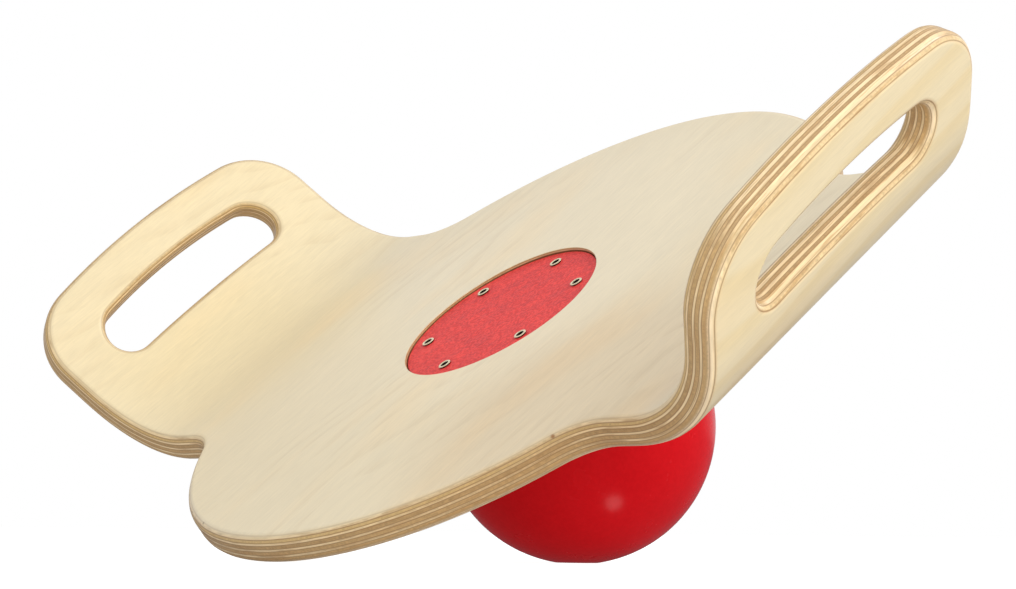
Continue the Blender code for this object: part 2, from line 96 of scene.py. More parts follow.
# %% Driving sizes of the plate, its fasteners and the ball
GAP = 0.0003
PLATE_RADIUS = 0.0558
PLATE_THICKNESS = 0.0032
PLATE_SINK = 0.0020
PLATE_EDGE = 0.0005
SCREW_COUNT = 6
SCREW_RING_RADIUS = 0.0453
SCREW_RADIUS = 0.0015
SCREW_HEAD_RADIUS = 0.0019
SCREW_HEAD_HEIGHT = 0.0025
SOCKET_RADIUS = 0.00115
SOCKET_DEPTH = 0.0014
CUP_FLANGE_RADIUS = 0.0034
CUP_FLANGE_THICKNESS = 0.0007
CUP_WALL = 0.0004
CUP_FLOOR = 0.0005
BALL_RADIUS = 0.0716
BALL_CENTRE_DEPTH = 0.0666
BALL_WALL = 0.0032
BALL_COLLAR_RADIUS = 0.0540
BALL_COLLAR_FILLET = 0.0060
BALL_COLLAR_EDGE = 0.0009
BALL_LEAN = Vector((0.0028, 0.0026, 0.0))


def crown_height(run):
    """Height of the deck's slight crown at a distance from the middle of the board."""
    if abs(run) >= DECK_HALF_WIDTH:
        return 0.0
    return DECK_CROWN * cos(pi * run / (2 * DECK_HALF_WIDTH)) ** 2


DECK_TOP = crown_height(0) + HALF_PLY
POCKET_RADIUS = PLATE_RADIUS + GAP
PLATE_TOP = DECK_TOP - PLATE_SINK
PLATE_BASE = PLATE_TOP - PLATE_THICKNESS
POCKET_FLOOR = PLATE_BASE - GAP
HOLE_RADIUS = SCREW_RADIUS + GAP
CUP_BORE_RADIUS = SCREW_HEAD_RADIUS + GAP
CUP_RADIUS = CUP_BORE_RADIUS + CUP_WALL
CUP_TOP = PLATE_TOP + GAP + CUP_FLANGE_THICKNESS
CUP_BASE = POCKET_FLOOR + GAP
HEAD_BASE = CUP_BASE + CUP_FLOOR + GAP
HEAD_TOP = HEAD_BASE + SCREW_HEAD_HEIGHT
COLLAR_TOP = crown_height(BALL_COLLAR_RADIUS) - HALF_PLY - GAP
print(f"deck top {DECK_TOP * 1000:.2f}, plate top {PLATE_TOP * 1000:.2f} mm above the ply's middle")

# %% [markdown]
# ## Where the level board is
# The part rests on the floor tipped onto its front edge, but it is far easier to shape level. The tilt
# could be typed in. It is read off the packed plate instead: its face shows how far it leans, and its
# rim where its axis is. What is built level is then moved with one matrix.

# %% Read the tilt and the origin of the level board off the packed plate
plate_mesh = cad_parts["cover_plate"].data
plate_face = max((f for f in plate_mesh.polygons if f.normal.z > 0), key=lambda f: f.area)
tilt = atan2(-plate_face.normal.y, plate_face.normal.z)
lean = Matrix.Rotation(tilt, 4, "X")
upright = np.array([lean.inverted() @ v.co for v in plate_mesh.vertices])
middle = (upright.min(0) + upright.max(0)) / 2
LEVEL = lean @ Matrix.Translation((middle[0], middle[1], upright[:, 2].max() - PLATE_TOP))
print(f"tilt {tilt * 180 / pi:.3f} degrees, level origin {[round(x, 5) for x in LEVEL.translation]}")

# %% [markdown]
# ## Camera
# The photograph was taken from just above the floor with a long lens, so parallels hardly converge.
# Place, turn and lens were found by fitting the board's edges to the photograph.

# %% Camera
CAMERA_PLACE = (1.08358, -0.86889, 0.01537)
CAMERA_TURN = (95.1718, -0.6573, 52.7564)
CAMERA_LENS = 94.307
CAMERA_SHIFT = -0.0031
CAMERA_NEAR = 0.01
scene = bpy.context.scene


def new_object(name, data):
    """An object in the scene."""
    made = bpy.data.objects.new(name, data)
    scene.collection.objects.link(made)
    return made


camera = new_object("camera", bpy.data.cameras.new("camera"))
camera.location = CAMERA_PLACE
camera.rotation_euler = Euler([radians(a) for a in CAMERA_TURN])
camera.data.lens = CAMERA_LENS
camera.data.shift_y = CAMERA_SHIFT
camera.data.clip_start = CAMERA_NEAR
scene.camera = camera
CAMERA_AXES = camera.rotation_euler.to_matrix()
print("camera", CAMERA_PLACE, "lens", CAMERA_LENS, "mm")

# %% [markdown]
# ## Nodes as formulas
# Light and finishes are networks of nodes. Placed one call at a time, a network hides its own formula.
# So what leaves a socket is wrapped as a signal here, and adding or multiplying signals places the node
# that does it.


# %% Signals
class Signal:
    """The value that leaves a socket. Sums and products of signals place the nodes they need."""

    def __init__(self, socket):
        self.socket, self.tree = socket, socket.id_data

    def __add__(self, other):
        return calculate("ADD", self, other)

    def __sub__(self, other):
        return calculate("SUBTRACT", self, other)

    def __rsub__(self, other):
        return calculate("SUBTRACT", other, self)

    def __mul__(self, other):
        return calculate("MULTIPLY", self, other)

    __radd__, __rmul__ = __add__, __mul__

    def to(self, socket):
        """Send the signal into a socket."""
        self.tree.links.new(self.socket, socket)


# %% Placing nodes
def signals(node):
    """What leaves a node, found by number or by name."""
    return {key: Signal(socket) for i, socket in enumerate(node.outputs) for key in (i, socket.name)}


def put(tree, kind, inputs=None, **settings):
    """Place a node, fill its sockets with values or signals, and return what leaves it."""
    made = tree.nodes.new("ShaderNode" + kind)
    for name, value in settings.items():
        setattr(made, name, value)
    for name, value in (inputs or {}).items():
        if isinstance(value, Signal):
            value.to(made.inputs[name])
        else:
            made.inputs[name].default_value = value
    return signals(made)


def calculate(operation, first, second=0.0, clamp=False):
    """A number worked out from one or two others. One of them at least is a signal."""
    tree = (first if isinstance(first, Signal) else second).tree
    return put(tree, "Math", {0: first, 1: second}, operation=operation, use_clamp=clamp)[0]


print("signals know:", [name for name in vars(Signal) if name in ("__add__", "__sub__", "__mul__")])

# %% [markdown]
# ## Light
# A photograph like this one is made in a white studio. Floor and backdrop come out pure white, but most
# light falls from above and from the camera's right, and gloss mirrors the dark side behind the camera.
# One world does all of it: the camera sees it white, matt surfaces get a slightly cooler light, and
# what gloss mirrors is bright only behind the object.


# %% Distances and soft steps
def measure(operation, first, second=(0.0, 0.0, 0.0)):
    """A number worked out from one or two vectors."""
    return put(first.tree, "VectorMath", {0: first, 1: second}, operation=operation)["Value"]


def band(value, low, high, start=0.0, end=1.0):
    """One value below low, another above high, smooth between."""
    return put(value.tree, "MapRange", {0: value, 1: low, 2: high, 3: start, 4: end},
               interpolation_type="SMOOTHSTEP")[0]


print("ready to measure vectors and to blend between two values")

# %% World
SCENE_CENTRE = Vector((0.0, -0.03, 0.11))
ROOM_LIGHT = 0.91
ROOM_TINT = (0.95, 0.98, 1.04)
DARK_SIDE, BACKDROP = 0.10, 0.75
BACKDROP_FROM, BACKDROP_FULL = 0.3, 0.95

scene.view_settings.view_transform = "Standard"

world = bpy.data.worlds.new("white_studio")
world.use_nodes = True
room = world.node_tree
rays = put(room, "LightPath")
look = CAMERA_AXES @ Vector((0.0, 0.0, -1.0))
ahead = Vector((look.x, look.y, 0.0)).normalized()
behind = measure("DOT_PRODUCT", put(room, "TexCoord")["Generated"], ahead)
mirrored = band(behind, BACKDROP_FROM, BACKDROP_FULL, DARK_SIDE, BACKDROP)
soft_light = room.nodes["Background"]
soft_light.inputs["Color"].default_value = (*ROOM_TINT, 1.0)
strength = put(room, "Mix", {0: rays["Is Glossy Ray"], 2: ROOM_LIGHT, 3: mirrored})[0]
strength.to(soft_light.inputs["Strength"])
lit = signals(soft_light)[0]
white = put(room, "Background", {"Color": (1.0, 1.0, 1.0, 1.0)})[0]
seen = put(room, "MixShader", {0: rays["Is Camera Ray"], 1: lit, 2: white})[0]
seen.to(room.nodes["World Output"].inputs["Surface"])
scene.world = world
print("world:", world.name, "strength", ROOM_LIGHT)


# %% Lamps
def soft_lamp(name, place, size, power, colour=(1.0, 1.0, 1.0)):
    """A square soft lamp aimed at the board. Its place is (right, up, toward) as seen from the camera."""
    lamp = new_object(name, bpy.data.lights.new(name, "AREA"))
    lamp.location = SCENE_CENTRE + CAMERA_AXES @ Vector(place)
    lamp.rotation_euler = (lamp.location - SCENE_CENTRE).to_track_quat("Z", "Y").to_euler()
    lamp.data.shape = "SQUARE"
    lamp.data.size = size
    lamp.data.energy = power
    lamp.data.color = colour
    return lamp


LAMP_WARM = (1.0, 0.94, 0.66)
soft_lamp("key_lamp", (1.15, 0.57, 1.53), 1.2, 10.5, LAMP_WARM)
soft_lamp("fill_lamp", (0.0, 0.30, 1.98), 1.2, 10.5, LAMP_WARM)
soft_lamp("top_right_lamp", (1.37, 1.45, 0.02), 0.5, 12.5)

# %% [markdown]
# ## Helpers for meshes
# Most pieces are sheets with holes, or turned forms. Booleans could cut a sheet, but leave long thin
# faces that shade badly once they are bent. Here each rim is swept along its own small profile, and the
# flats between the rims are filled with even triangles.


# %% Arcs and circles
def around(centre, radius, turns):
    """Points at some angles round a centre."""
    return [(centre[0] + radius * cos(t), centre[1] + radius * sin(t)) for t in turns]


def full_turn(count):
    """Angles evenly round a circle."""
    return [2 * pi * i / count for i in range(count)]


def arc(centre, radius, start, end, step):
    """Points along an arc, both ends included."""
    count = max(2, ceil(abs(end - start) / step))
    return around(centre, radius, [start + (end - start) * i / count for i in range(count + 1)])


def circle(centre, radius, count):
    """Points evenly round a circle."""
    return around(centre, radius, full_turn(count))


print("a half circle in steps of 30 degrees:", len(arc((0, 0), 1.0, 0.0, pi, radians(30))), "points")


# %% Rims and faces
def with_normals(loop, side):
    """Each point of a closed loop with the direction that leaves the material there."""
    result = []
    for i, (x, y) in enumerate(loop):
        before, after = loop[i - 1], loop[(i + 1) % len(loop)]
        dx, dy = after[0] - before[0], after[1] - before[1]
        length = hypot(dx, dy)
        result.append((x, y, side * dy / length, -side * dx / length))
    return result


def inside(points, loop):
    """Which points lie inside a closed loop."""
    loop = np.array(loop)
    after = np.roll(loop, -1, axis=0)
    x, y = points[:, 0:1], points[:, 1:2]
    spans = (loop[:, 1] > y) != (after[:, 1] > y)
    rise = np.where(after[:, 1] == loop[:, 1], 1.0, after[:, 1] - loop[:, 1])
    crossing = loop[:, 0] + (y - loop[:, 1]) / rise * (after[:, 0] - loop[:, 0])
    return (spans & (x < crossing)).sum(1) % 2 == 1


def between(points, loops):
    """Which points lie inside an odd number of loops, so within the rim and in none of its holes."""
    return sum(inside(points, loop).astype(int) for loop in loops) % 2 == 1


def joined(rows):
    """Faces between rows of point numbers, each row a ring. A row of one point closes the form."""
    steps = max(len(row) for row in rows)
    faces = []
    for first, second in zip(rows, rows[1:]):
        for i in range(steps):
            j = (i + 1) % steps
            corners = dict.fromkeys((first[i % len(first)], first[j % len(first)],
                                     second[j % len(second)], second[i % len(second)]))
            if len(corners) > 2:
                faces.append(tuple(corners))
    return faces


def outward(mesh, weld=0.0):
    """Weld points that are closer than a distance, and turn every face outward."""
    bm = bmesh.new()
    bm.from_mesh(mesh)
    if weld:
        bmesh.ops.remove_doubles(bm, verts=bm.verts, dist=weld)
    bmesh.ops.recalc_face_normals(bm, faces=bm.faces)
    bm.to_mesh(mesh)
    bm.free()
    return mesh


# %% A builder for sheets with rims and holes
TOUCHING = 1e-8


class Sheet:
    """Collects the points, outward directions and faces of one closed piece, drawn flat."""

    def __init__(self):
        self.places, self.facings, self.faces = [], [], []

    def point(self, place, facing):
        self.places.append(place)
        self.facings.append(facing)
        return len(self.places) - 1

    def rim(self, loop, side, profile):
        """Sweep a profile of (inset, height, outward share, upward share) round a loop, row by row."""
        rows = []
        for inset, height, out, up in profile:
            row = []
            for x, y, nx, ny in with_normals(loop, side):
                px, py = x - nx * inset, y - ny * inset
                pz = height(px) if callable(height) else height
                row.append(self.point((px, py, pz), (nx * out, ny * out, up)))
            rows.append(row)
        self.faces += joined(rows)
        return rows

    def cap(self, rims, up, height, grid=()):
        """Fill the flat between an outer rim and the rims of its holes with even triangles."""
        loops = [[self.places[index][:2] for index in rim] for rim in rims]
        edges = []
        for rim in rims:
            start = len(edges)
            edges += [(start + i, start + (i + 1) % len(rim)) for i in range(len(rim))]
        known = sum(rims, []) + [self.point((*spot, height), (0.0, 0.0, up)) for spot in grid]
        flat = [self.places[index][:2] for index in known]
        _, _, faces, sources, _, _ = delaunay_2d_cdt([Vector(p) for p in flat], edges, [], 0, TOUCHING)
        faces = [[sources[corner][0] for corner in face] for face in faces]
        kept = between(np.array(flat)[np.array(faces)].mean(1), loops)
        self.faces += [[known[corner] for corner in face] for face, keep in zip(faces, kept) if keep]

    def mesh(self, name, shape=None):
        """The mesh, bent by shape(place, facing) if one is given, and moved onto the tipped board."""
        points = zip(self.places, self.facings)
        placed = [shape(p, f) if shape else (Vector(p), Vector(f)) for p, f in points]
        mesh = bpy.data.meshes.new(name)
        mesh.from_pydata([LEVEL @ p for p, _ in placed], [], self.faces)
        outward(mesh)
        for label, values in (("blank_place", self.places), ("blank_facing", self.facings)):
            layer = mesh.attributes.new(label, "FLOAT_VECTOR", "POINT")
            layer.data.foreach_set("vector", np.array(values, np.float32).ravel())
        mesh.shade_smooth()
        turn = LEVEL.to_3x3()
        mesh.normals_split_custom_set_from_vertices([(turn @ f).normalized() for _, f in placed])
        return mesh


def grid_points(loops, step_x, step_y, margin):
    """Staggered points inside the first loop, clear of every loop by a margin."""
    low, high = np.min(loops[0], 0), np.max(loops[0], 0)
    columns = np.arange(low[0], high[0], step_x)
    points = np.array([(x + step_x / 2 * (row % 2), y)
                       for row, y in enumerate(np.arange(low[1], high[1], step_y)) for x in columns])
    points = points[between(points, loops)]
    rims = np.array(sum(loops, []))
    nearest = np.array([np.hypot(*(rims - p).T).min() for p in points])
    return [tuple(p) for p in points[nearest > margin]]


# %% [markdown]
# ## The board's outline
# The blank is two round lobes and two wings, joined by small hollow curves. Everything is arcs that meet
# without a corner, so one quarter is walked point by point and mirrored twice.

# %% Outline of the blank and its hand slots
OUTLINE_STEP = radians(2.2)
SIDE_STEP = 0.0045


def quarter_outline():
    """From the tip of the right wing to the middle of the back lobe."""
    corner_y = WING_HALF_WIDTH - TIP_CORNER_RADIUS
    tip_turn = asin(corner_y / (TIP_RADIUS - TIP_CORNER_RADIUS))
    tip = arc((WING_REACH - TIP_RADIUS, 0.0), TIP_RADIUS, 0.0, tip_turn, SIDE_STEP / TIP_RADIUS)
    corner_x = tip[-1][0] - TIP_CORNER_RADIUS * cos(tip_turn)
    corner = arc((corner_x, corner_y), TIP_CORNER_RADIUS, tip_turn, pi / 2, 2 * OUTLINE_STEP)
    notch_y = WING_HALF_WIDTH + NOTCH_RADIUS
    notch_x = sqrt((LOBE_RADIUS + NOTCH_RADIUS) ** 2 - notch_y ** 2)
    lobe_turn = atan2(notch_y, notch_x)
    notch = arc((notch_x, notch_y), NOTCH_RADIUS, -pi / 2, lobe_turn - pi, 2 * OUTLINE_STEP)
    side_count = ceil((corner[-1][0] - notch[0][0]) / SIDE_STEP)
    side = [(corner[-1][0] + (notch[0][0] - corner[-1][0]) * i / side_count, WING_HALF_WIDTH)
            for i in range(1, side_count)]
    lobe = arc((0.0, 0.0), LOBE_RADIUS, lobe_turn, pi / 2, OUTLINE_STEP / 2)
    return tip + corner[1:] + side + notch + lobe[1:]


def full_outline():
    """The whole rim of the blank, anticlockwise."""
    quarter = quarter_outline()
    upper = quarter + [(-x, y) for x, y in reversed(quarter[:-1])]
    return upper + [(x, -y) for x, y in reversed(upper[1:-1])]


def slot_outline(side):
    """A long hole whose outer side is bowed, on the right wing (1) or the left (-1), anticlockwise."""
    straight = SLOT_HALF_LENGTH - SLOT_HALF_WIDTH
    count = ceil(2 * straight / SIDE_STEP)
    half = [(SLOT_HALF_WIDTH, -straight + 2 * straight * i / count) for i in range(count + 1)]
    half += arc((0.0, straight), SLOT_HALF_WIDTH, 0.0, pi, 4 * OUTLINE_STEP)[1:-1]
    points = []
    for x, y in half + [(-x, -y) for x, y in half]:
        share = SLOT_INNER_SHARE + (1 - SLOT_INNER_SHARE) * (x + SLOT_HALF_WIDTH) / (2 * SLOT_HALF_WIDTH)
        bow = SLOT_BOW * (1 - (y / SLOT_HALF_LENGTH) ** 2) * share
        points.append((side * (SLOT_CENTRE + x + bow), y))
    return points if side > 0 else points[::-1]


board_outline = full_outline()
slot_outlines = [slot_outline(1), slot_outline(-1)]
print("rim points:", len(board_outline), "slot points:", len(slot_outlines[0]))

# %% [markdown]
# ## The bend
# A moulded board is flat veneers pressed over a form, and nothing stretches: every point keeps its
# distance from the middle along the sheet. So the mesh is made flat and then wrapped by a formula, which
# also turns the outward directions and so gives exact smooth shading.


# %% Wrap the flat blank round the form
def bent(place, facing):
    """The bent place and outward direction of a point of the flat blank."""
    s, y, lift = place
    side = -1 if s < 0 else 1
    run = abs(s)
    bend_end = DECK_HALF_WIDTH + BEND_RADIUS * BEND_ANGLE
    turn = min(max((run - DECK_HALF_WIDTH) / BEND_RADIUS, 0.0), BEND_ANGLE)
    x = min(run, DECK_HALF_WIDTH) + BEND_RADIUS * sin(turn)
    z = BEND_RADIUS * (1 - cos(turn)) + crown_height(run)
    if run > bend_end:
        turn = BEND_ANGLE + (run - bend_end) / WING_CURVE_RADIUS
        x += WING_CURVE_RADIUS * (sin(turn) - sin(BEND_ANGLE))
        z += WING_CURVE_RADIUS * (cos(BEND_ANGLE) - cos(turn))
    slope = turn
    if run < DECK_HALF_WIDTH:
        slope = -atan(DECK_CROWN * pi / (2 * DECK_HALF_WIDTH) * sin(pi * run / DECK_HALF_WIDTH))
    along = Vector((cos(slope), 0, side * sin(slope)))
    out = Vector((-side * sin(slope), 0, cos(slope)))
    direction = along * facing[0] + Vector((0, facing[1], 0)) + out * facing[2]
    return Vector((side * (x - sin(turn) * lift), y, z + cos(turn) * lift)), direction


wing_tip = bent((WING_REACH, 0.0, 0.0), (0.0, 0.0, 1.0))[0]
print(f"the wing's tip is {wing_tip.x * 1000:.1f} mm out and {wing_tip.z * 1000:.1f} mm up")

# %% [markdown]
# ## The board's mesh
# Both faces, the rounded rims, the pocket for the plate and the six screw holes are one closed mesh.
# Every point keeps its flat coordinates, so the wood finish can follow the veneers through the bends.

# %% Build the board
ROUND_ROWS = 5
WALL_ROWS = 6
POCKET_ROUND = 0.0004
POCKET_STEPS = 160
HOLE_STEPS = 20
GRID_STEPS = (0.0052, 0.0090)
GRID_MARGIN = 0.0030


def through_profile(radius):
    """From the top face, over a round, down the wall and under to the bottom face."""
    upper = [(radius * (1 - sin(t)), HALF_PLY - radius * (1 - cos(t)), sin(t), cos(t))
             for t in (pi / 2 * i / ROUND_ROWS for i in range(ROUND_ROWS + 1))]
    wall = [(0.0, (HALF_PLY - radius) * (1 - 2 * i / WALL_ROWS), 1.0, 0.0) for i in range(1, WALL_ROWS)]
    return upper + wall + [(inset, -height, out, -up) for inset, height, out, up in upper[::-1]]


def broken_edge(size, top):
    """From a face over a softly broken edge to the wall."""
    return [(size, top, 0.0, 1.0), (size * 0.3, top - size * 0.3, 0.7, 0.7), (0.0, top - size, 1.0, 0.0)]


def pocket_floor(x):
    """Height of the flat pocket floor above the crowned middle surface."""
    return POCKET_FLOOR - crown_height(x)


pocket_profile = broken_edge(POCKET_ROUND, HALF_PLY)
pocket_profile += [(0.0, HALF_PLY - PLATE_SINK, 1.0, 0.0), (0.0, pocket_floor, 1.0, 0.0)]
hole_profile = [(0.0, pocket_floor, 1.0, 0.0), (0.0, -HALF_PLY, 1.0, 0.0)]
screw_places = around((0, 0), SCREW_RING_RADIUS, [pi / 2 + turn for turn in full_turn(SCREW_COUNT)])

pocket_outline = circle((0, 0), POCKET_RADIUS, POCKET_STEPS)
hole_outlines = [circle(place, HOLE_RADIUS, HOLE_STEPS) for place in screw_places]
through_outlines = [board_outline] + slot_outlines
blank = Sheet()
through_rows = [blank.rim(loop, 1 if loop is board_outline else -1, through_profile(EDGE_ROUND))
                for loop in through_outlines]
pocket_rows = blank.rim(pocket_outline, -1, pocket_profile)
hole_rows = [blank.rim(loop, -1, hole_profile) for loop in hole_outlines]
top_grid, base_grid = (grid_points(through_outlines + holes, *GRID_STEPS, EDGE_ROUND + GRID_MARGIN)
                       for holes in ([pocket_outline], hole_outlines))
blank.cap([rows[0] for rows in through_rows] + [pocket_rows[0]], 1.0, HALF_PLY, top_grid)
blank.cap([pocket_rows[-1]] + [rows[0] for rows in hole_rows], 1.0, POCKET_FLOOR)
blank.cap([rows[-1] for rows in through_rows + hole_rows], -1.0, -HALF_PLY, base_grid)
board_mesh = blank.mesh("plywood_board", bent)
print("board faces:", len(board_mesh.polygons))

# %% [markdown]
# ## Plywood layers
# The board is a stack of thin veneers whose grain runs front to back and side to side in turn. On an
# edge, a veneer shows long pale fibres where its grain runs along the edge, and darker cut ends where it
# runs into it. The stack is a strip of colours looked up by depth: red says which way the grain runs,
# green how dark the veneer is, blue shifts its pattern. Between two directions lies a line of glue.
# An effect like this is a node group: it is built once, and its sockets have names.


# %% Node groups and strips of colours
def new_group(name, inputs, results):
    """An empty node group and its two ends. An input is its default number, or None for a vector."""
    group = bpy.data.node_groups.new(name, "ShaderNodeTree")
    for label, value in inputs.items():
        kind = "NodeSocketVector" if value is None else "NodeSocketFloat"
        socket = group.interface.new_socket(label, in_out="INPUT", socket_type=kind)
        if value is not None:
            socket.default_value = value
    for label in results:
        group.interface.new_socket(label, in_out="OUTPUT", socket_type="NodeSocketFloat")
    return group, signals(group.nodes.new("NodeGroupInput")), group.nodes.new("NodeGroupOutput").inputs


def give(ends, **results):
    """Send signals out of a group by name."""
    for label, signal in results.items():
        signal.to(ends[label])


def ramp(value, stops):
    """A colour looked up on a strip of (position, colour) stops."""
    found = put(value.tree, "ValToRGB", {0: value})[0]
    strip = found.socket.node.color_ramp.elements
    strip.remove(strip[1])
    for i, (position, colour) in enumerate(stops):
        element = strip[0] if i == 0 else strip.new(position)
        element.position = position
        element.color = (*colour, 1.0)
    return found


print("node groups so far:", len(bpy.data.node_groups))

# %% Group: which veneer is at this depth
CROSS, STRAIGHT = 1.0, 0.0
VENEERS = [  # grain, thickness in mm, shade, from the bottom face up
    (STRAIGHT, 0.40, 0.56), (CROSS, 1.55, 0.50), (STRAIGHT, 1.30, 0.42), (STRAIGHT, 1.60, 0.62),
    (CROSS, 1.45, 0.40), (STRAIGHT, 2.10, 0.56), (CROSS, 1.40, 0.48), (STRAIGHT, 2.05, 0.44),
    (CROSS, 1.35, 0.52), (STRAIGHT, 1.40, 0.60), (CROSS, 1.40, 0.40), (STRAIGHT, 0.50, 0.50)]
VENEER_BLUR, MOST_BLUR = 0.30, 0.4
SHIFT_STEP = 0.37

layer_group, layer_in, layer_out = new_group(
    "ply_layers", {"Depth": 0.0}, ("Cross", "Shade", "Shift", "Glue"))
stack_height = sum(thickness for _, thickness, _ in VENEERS)
stops = []
level_now = 0.0
for number, (direction, thickness, shade) in enumerate(VENEERS):
    colour = (direction, shade, (number * SHIFT_STEP) % 1.0)
    blur = min(VENEER_BLUR, thickness * MOST_BLUR)
    low, high = level_now + blur, level_now + thickness - blur
    stops += [(low / stack_height, colour), (high / stack_height, colour)]
    level_now += thickness
share = put(layer_group, "MapRange", {0: layer_in["Depth"], 1: -HALF_PLY, 2: HALF_PLY})[0]
parts = put(layer_group, "SeparateColor", {0: ramp(share, stops)})
glue = 1.0 - calculate("ABSOLUTE", parts[0] * 2.0 - 1.0)
give(layer_out, Cross=parts[0], Shade=parts[1], Shift=parts[2], Glue=glue)
print("veneers:", len(VENEERS), "stack", round(stack_height, 2), "mm")

# %% [markdown]
# ## Wood fibres
# Fibres are far longer than wide, so noise is stretched: fine across the grain, coarse along it. The
# noise is solid, so the same group draws streaks on a long-grain edge and dots on cut ends. A cutter
# leaves thin lines along the layers whichever way the grain runs: a third noise, flat like the veneers.


# %% Stretched noise
def scaled(vector, factors):
    """A vector with each of its parts multiplied."""
    return put(vector.tree, "VectorMath", {0: vector, 1: factors}, operation="MULTIPLY")[0]


def noise(place, scale, detail=2.0, roughness=0.5, **more):
    """A soft random pattern in space. With a seed W it is one of many."""
    inputs = {"Vector": place, "Scale": scale, "Detail": detail, "Roughness": roughness, **more}
    return put(place.tree, "TexNoise", inputs, noise_dimensions="4D" if more else "3D")[0]


print("ready to stretch a noise")

# %% Group: fibres along the grain
FIBRES = {"Streaks": (650.0, 60.0, 3.0), "Hairs": (1500.0, 110.0, 2.0)}  # across, along, detail
CUTTER_LINES = (38.0, 38.0, 1000.0)
SEED_STEP = 40.0

fibre_group, fibre_in, fibre_out = new_group(
    "wood_fibres", {"Place": None, "Cross": 0.0, "Shift": 0.0}, ("Streaks", "Hairs", "Lines"))
seed = fibre_in["Shift"] * SEED_STEP
for label, (across, along, detail) in FIBRES.items():
    straight = scaled(fibre_in["Place"], (across, along, across))
    crossed = scaled(fibre_in["Place"], (along, across, across))
    ways = {0: fibre_in["Cross"], 4: straight, 5: crossed}
    chosen = put(fibre_group, "Mix", ways, data_type="VECTOR")[1]
    give(fibre_out, **{label: noise(chosen, 1.0, detail, 0.55, W=seed)})
give(fibre_out, Lines=noise(scaled(fibre_in["Place"], CUTTER_LINES), 1.0, 3.0, 0.6))
print("group wood_fibres gives", [label for label in fibre_out.keys() if label])

# %% [markdown]
# ## Veneer figure
# The face veneer is peeled off the log, so its year rings come out as long flame lines with soft broad
# shading between. Bands pushed about by a slow noise give the flames, and a patch mask lets them come
# and go. They are kept faint, because this is a quiet wood.

# %% Group: the figure of the face veneer
figure_group, figure_in, figure_out = new_group(
    "veneer_figure", {"Place": None}, ("Flame", "Cloud", "Blush", "Waves"))


def figure_noise(factors, detail):
    """A slow noise on the flat blank, stretched by factors."""
    return noise(scaled(figure_in["Place"], (*factors, 0.0)), 1.0, detail)


def teeth(phase, start, full, end):
    """Repeated lines that rise slowly from start to full and end at a crisp edge."""
    saw = calculate("FRACT", phase)
    return band(saw, start, full) * band(1.0 - saw, 0.0, end)


spot = put(figure_group, "SeparateXYZ", {0: figure_in["Place"]})
rings = spot[0] * 55.0 + spot[1] * -16.0 + figure_noise((9.0, 4.0), 2.0) * 9.0
flame_lines = teeth(rings, 0.45, 0.93, 0.07)
feathers = band(figure_noise((160.0, 45.0), 2.0), 0.30, 0.62)
patches = band(figure_noise((8.0, 5.0), 1.0), 0.46, 0.62)
waves = teeth(figure_noise((5.0, 4.0), 1.0) * 4.0 + spot[0] * 42.0, 0.25, 0.80, 0.18)
blush = band(figure_noise((14.0, 6.0), 2.0), 0.5, 0.75)
give(figure_out, Flame=flame_lines * feathers * patches, Waves=waves, Blush=blush,
     Cloud=figure_noise((22.0, 9.0), 4.0))
print("group veneer_figure ready")

# %% [markdown]
# ## The plywood finish
# One finish serves the faces, the rounded rims and the cut edges: they are the same stack seen from
# another side. How much end grain shows comes from the angle between surface and grain, both known on
# the flat blank. The wall of the pocket gets painted shade, a deep brown, except for a pale skin on
# top. Soft patches of painted light and shade lie on the faces: brighter and cooler at the back of the
# deck, a painted shadow of the right wing on the front right, warmer light on the left bend and wing.
# Two small marks keep the faces from being even, and a painted highlight runs along the lower rim of
# the edges that face front and back. A thin satin lacquer lies over it all.


# %% Helpers for finishes
def use_group(tree, group, **inputs):
    """What leaves a node group that is fed with these inputs."""
    return put(tree, "Group", inputs, node_tree=group)


def mix_colour(share, first, second, mode="MIX"):
    """Two colours mixed by a share. A colour is a signal or (red, green, blue)."""
    tree = next(part.tree for part in (share, first, second) if isinstance(part, Signal))
    first, second = ((*part, 1.0) if isinstance(part, tuple) else part for part in (first, second))
    return put(tree, "Mix", {0: share, 6: first, 7: second}, data_type="RGBA", blend_type=mode)[2]


def finish_shader(name, **values):
    """A material with its shader and the values that are the same all over."""
    material = bpy.data.materials.new(name)
    material.use_nodes = True
    shader = material.node_tree.nodes["Principled BSDF"]
    for label, value in values.items():
        shader.inputs[label.replace("_", " ")].default_value = value
    return material, material.node_tree, shader.inputs


def dress(shader, colour, rough, height, strength, distance):
    """Give a shader its colour, its roughness and its relief."""
    bump = put(colour.tree, "Bump", {"Height": height, "Strength": strength, "Distance": distance})[0]
    for label, signal in (("Base Color", colour), ("Roughness", rough), ("Normal", bump)):
        signal.to(shader[label])


print("ready to mix colours and to make a finish")

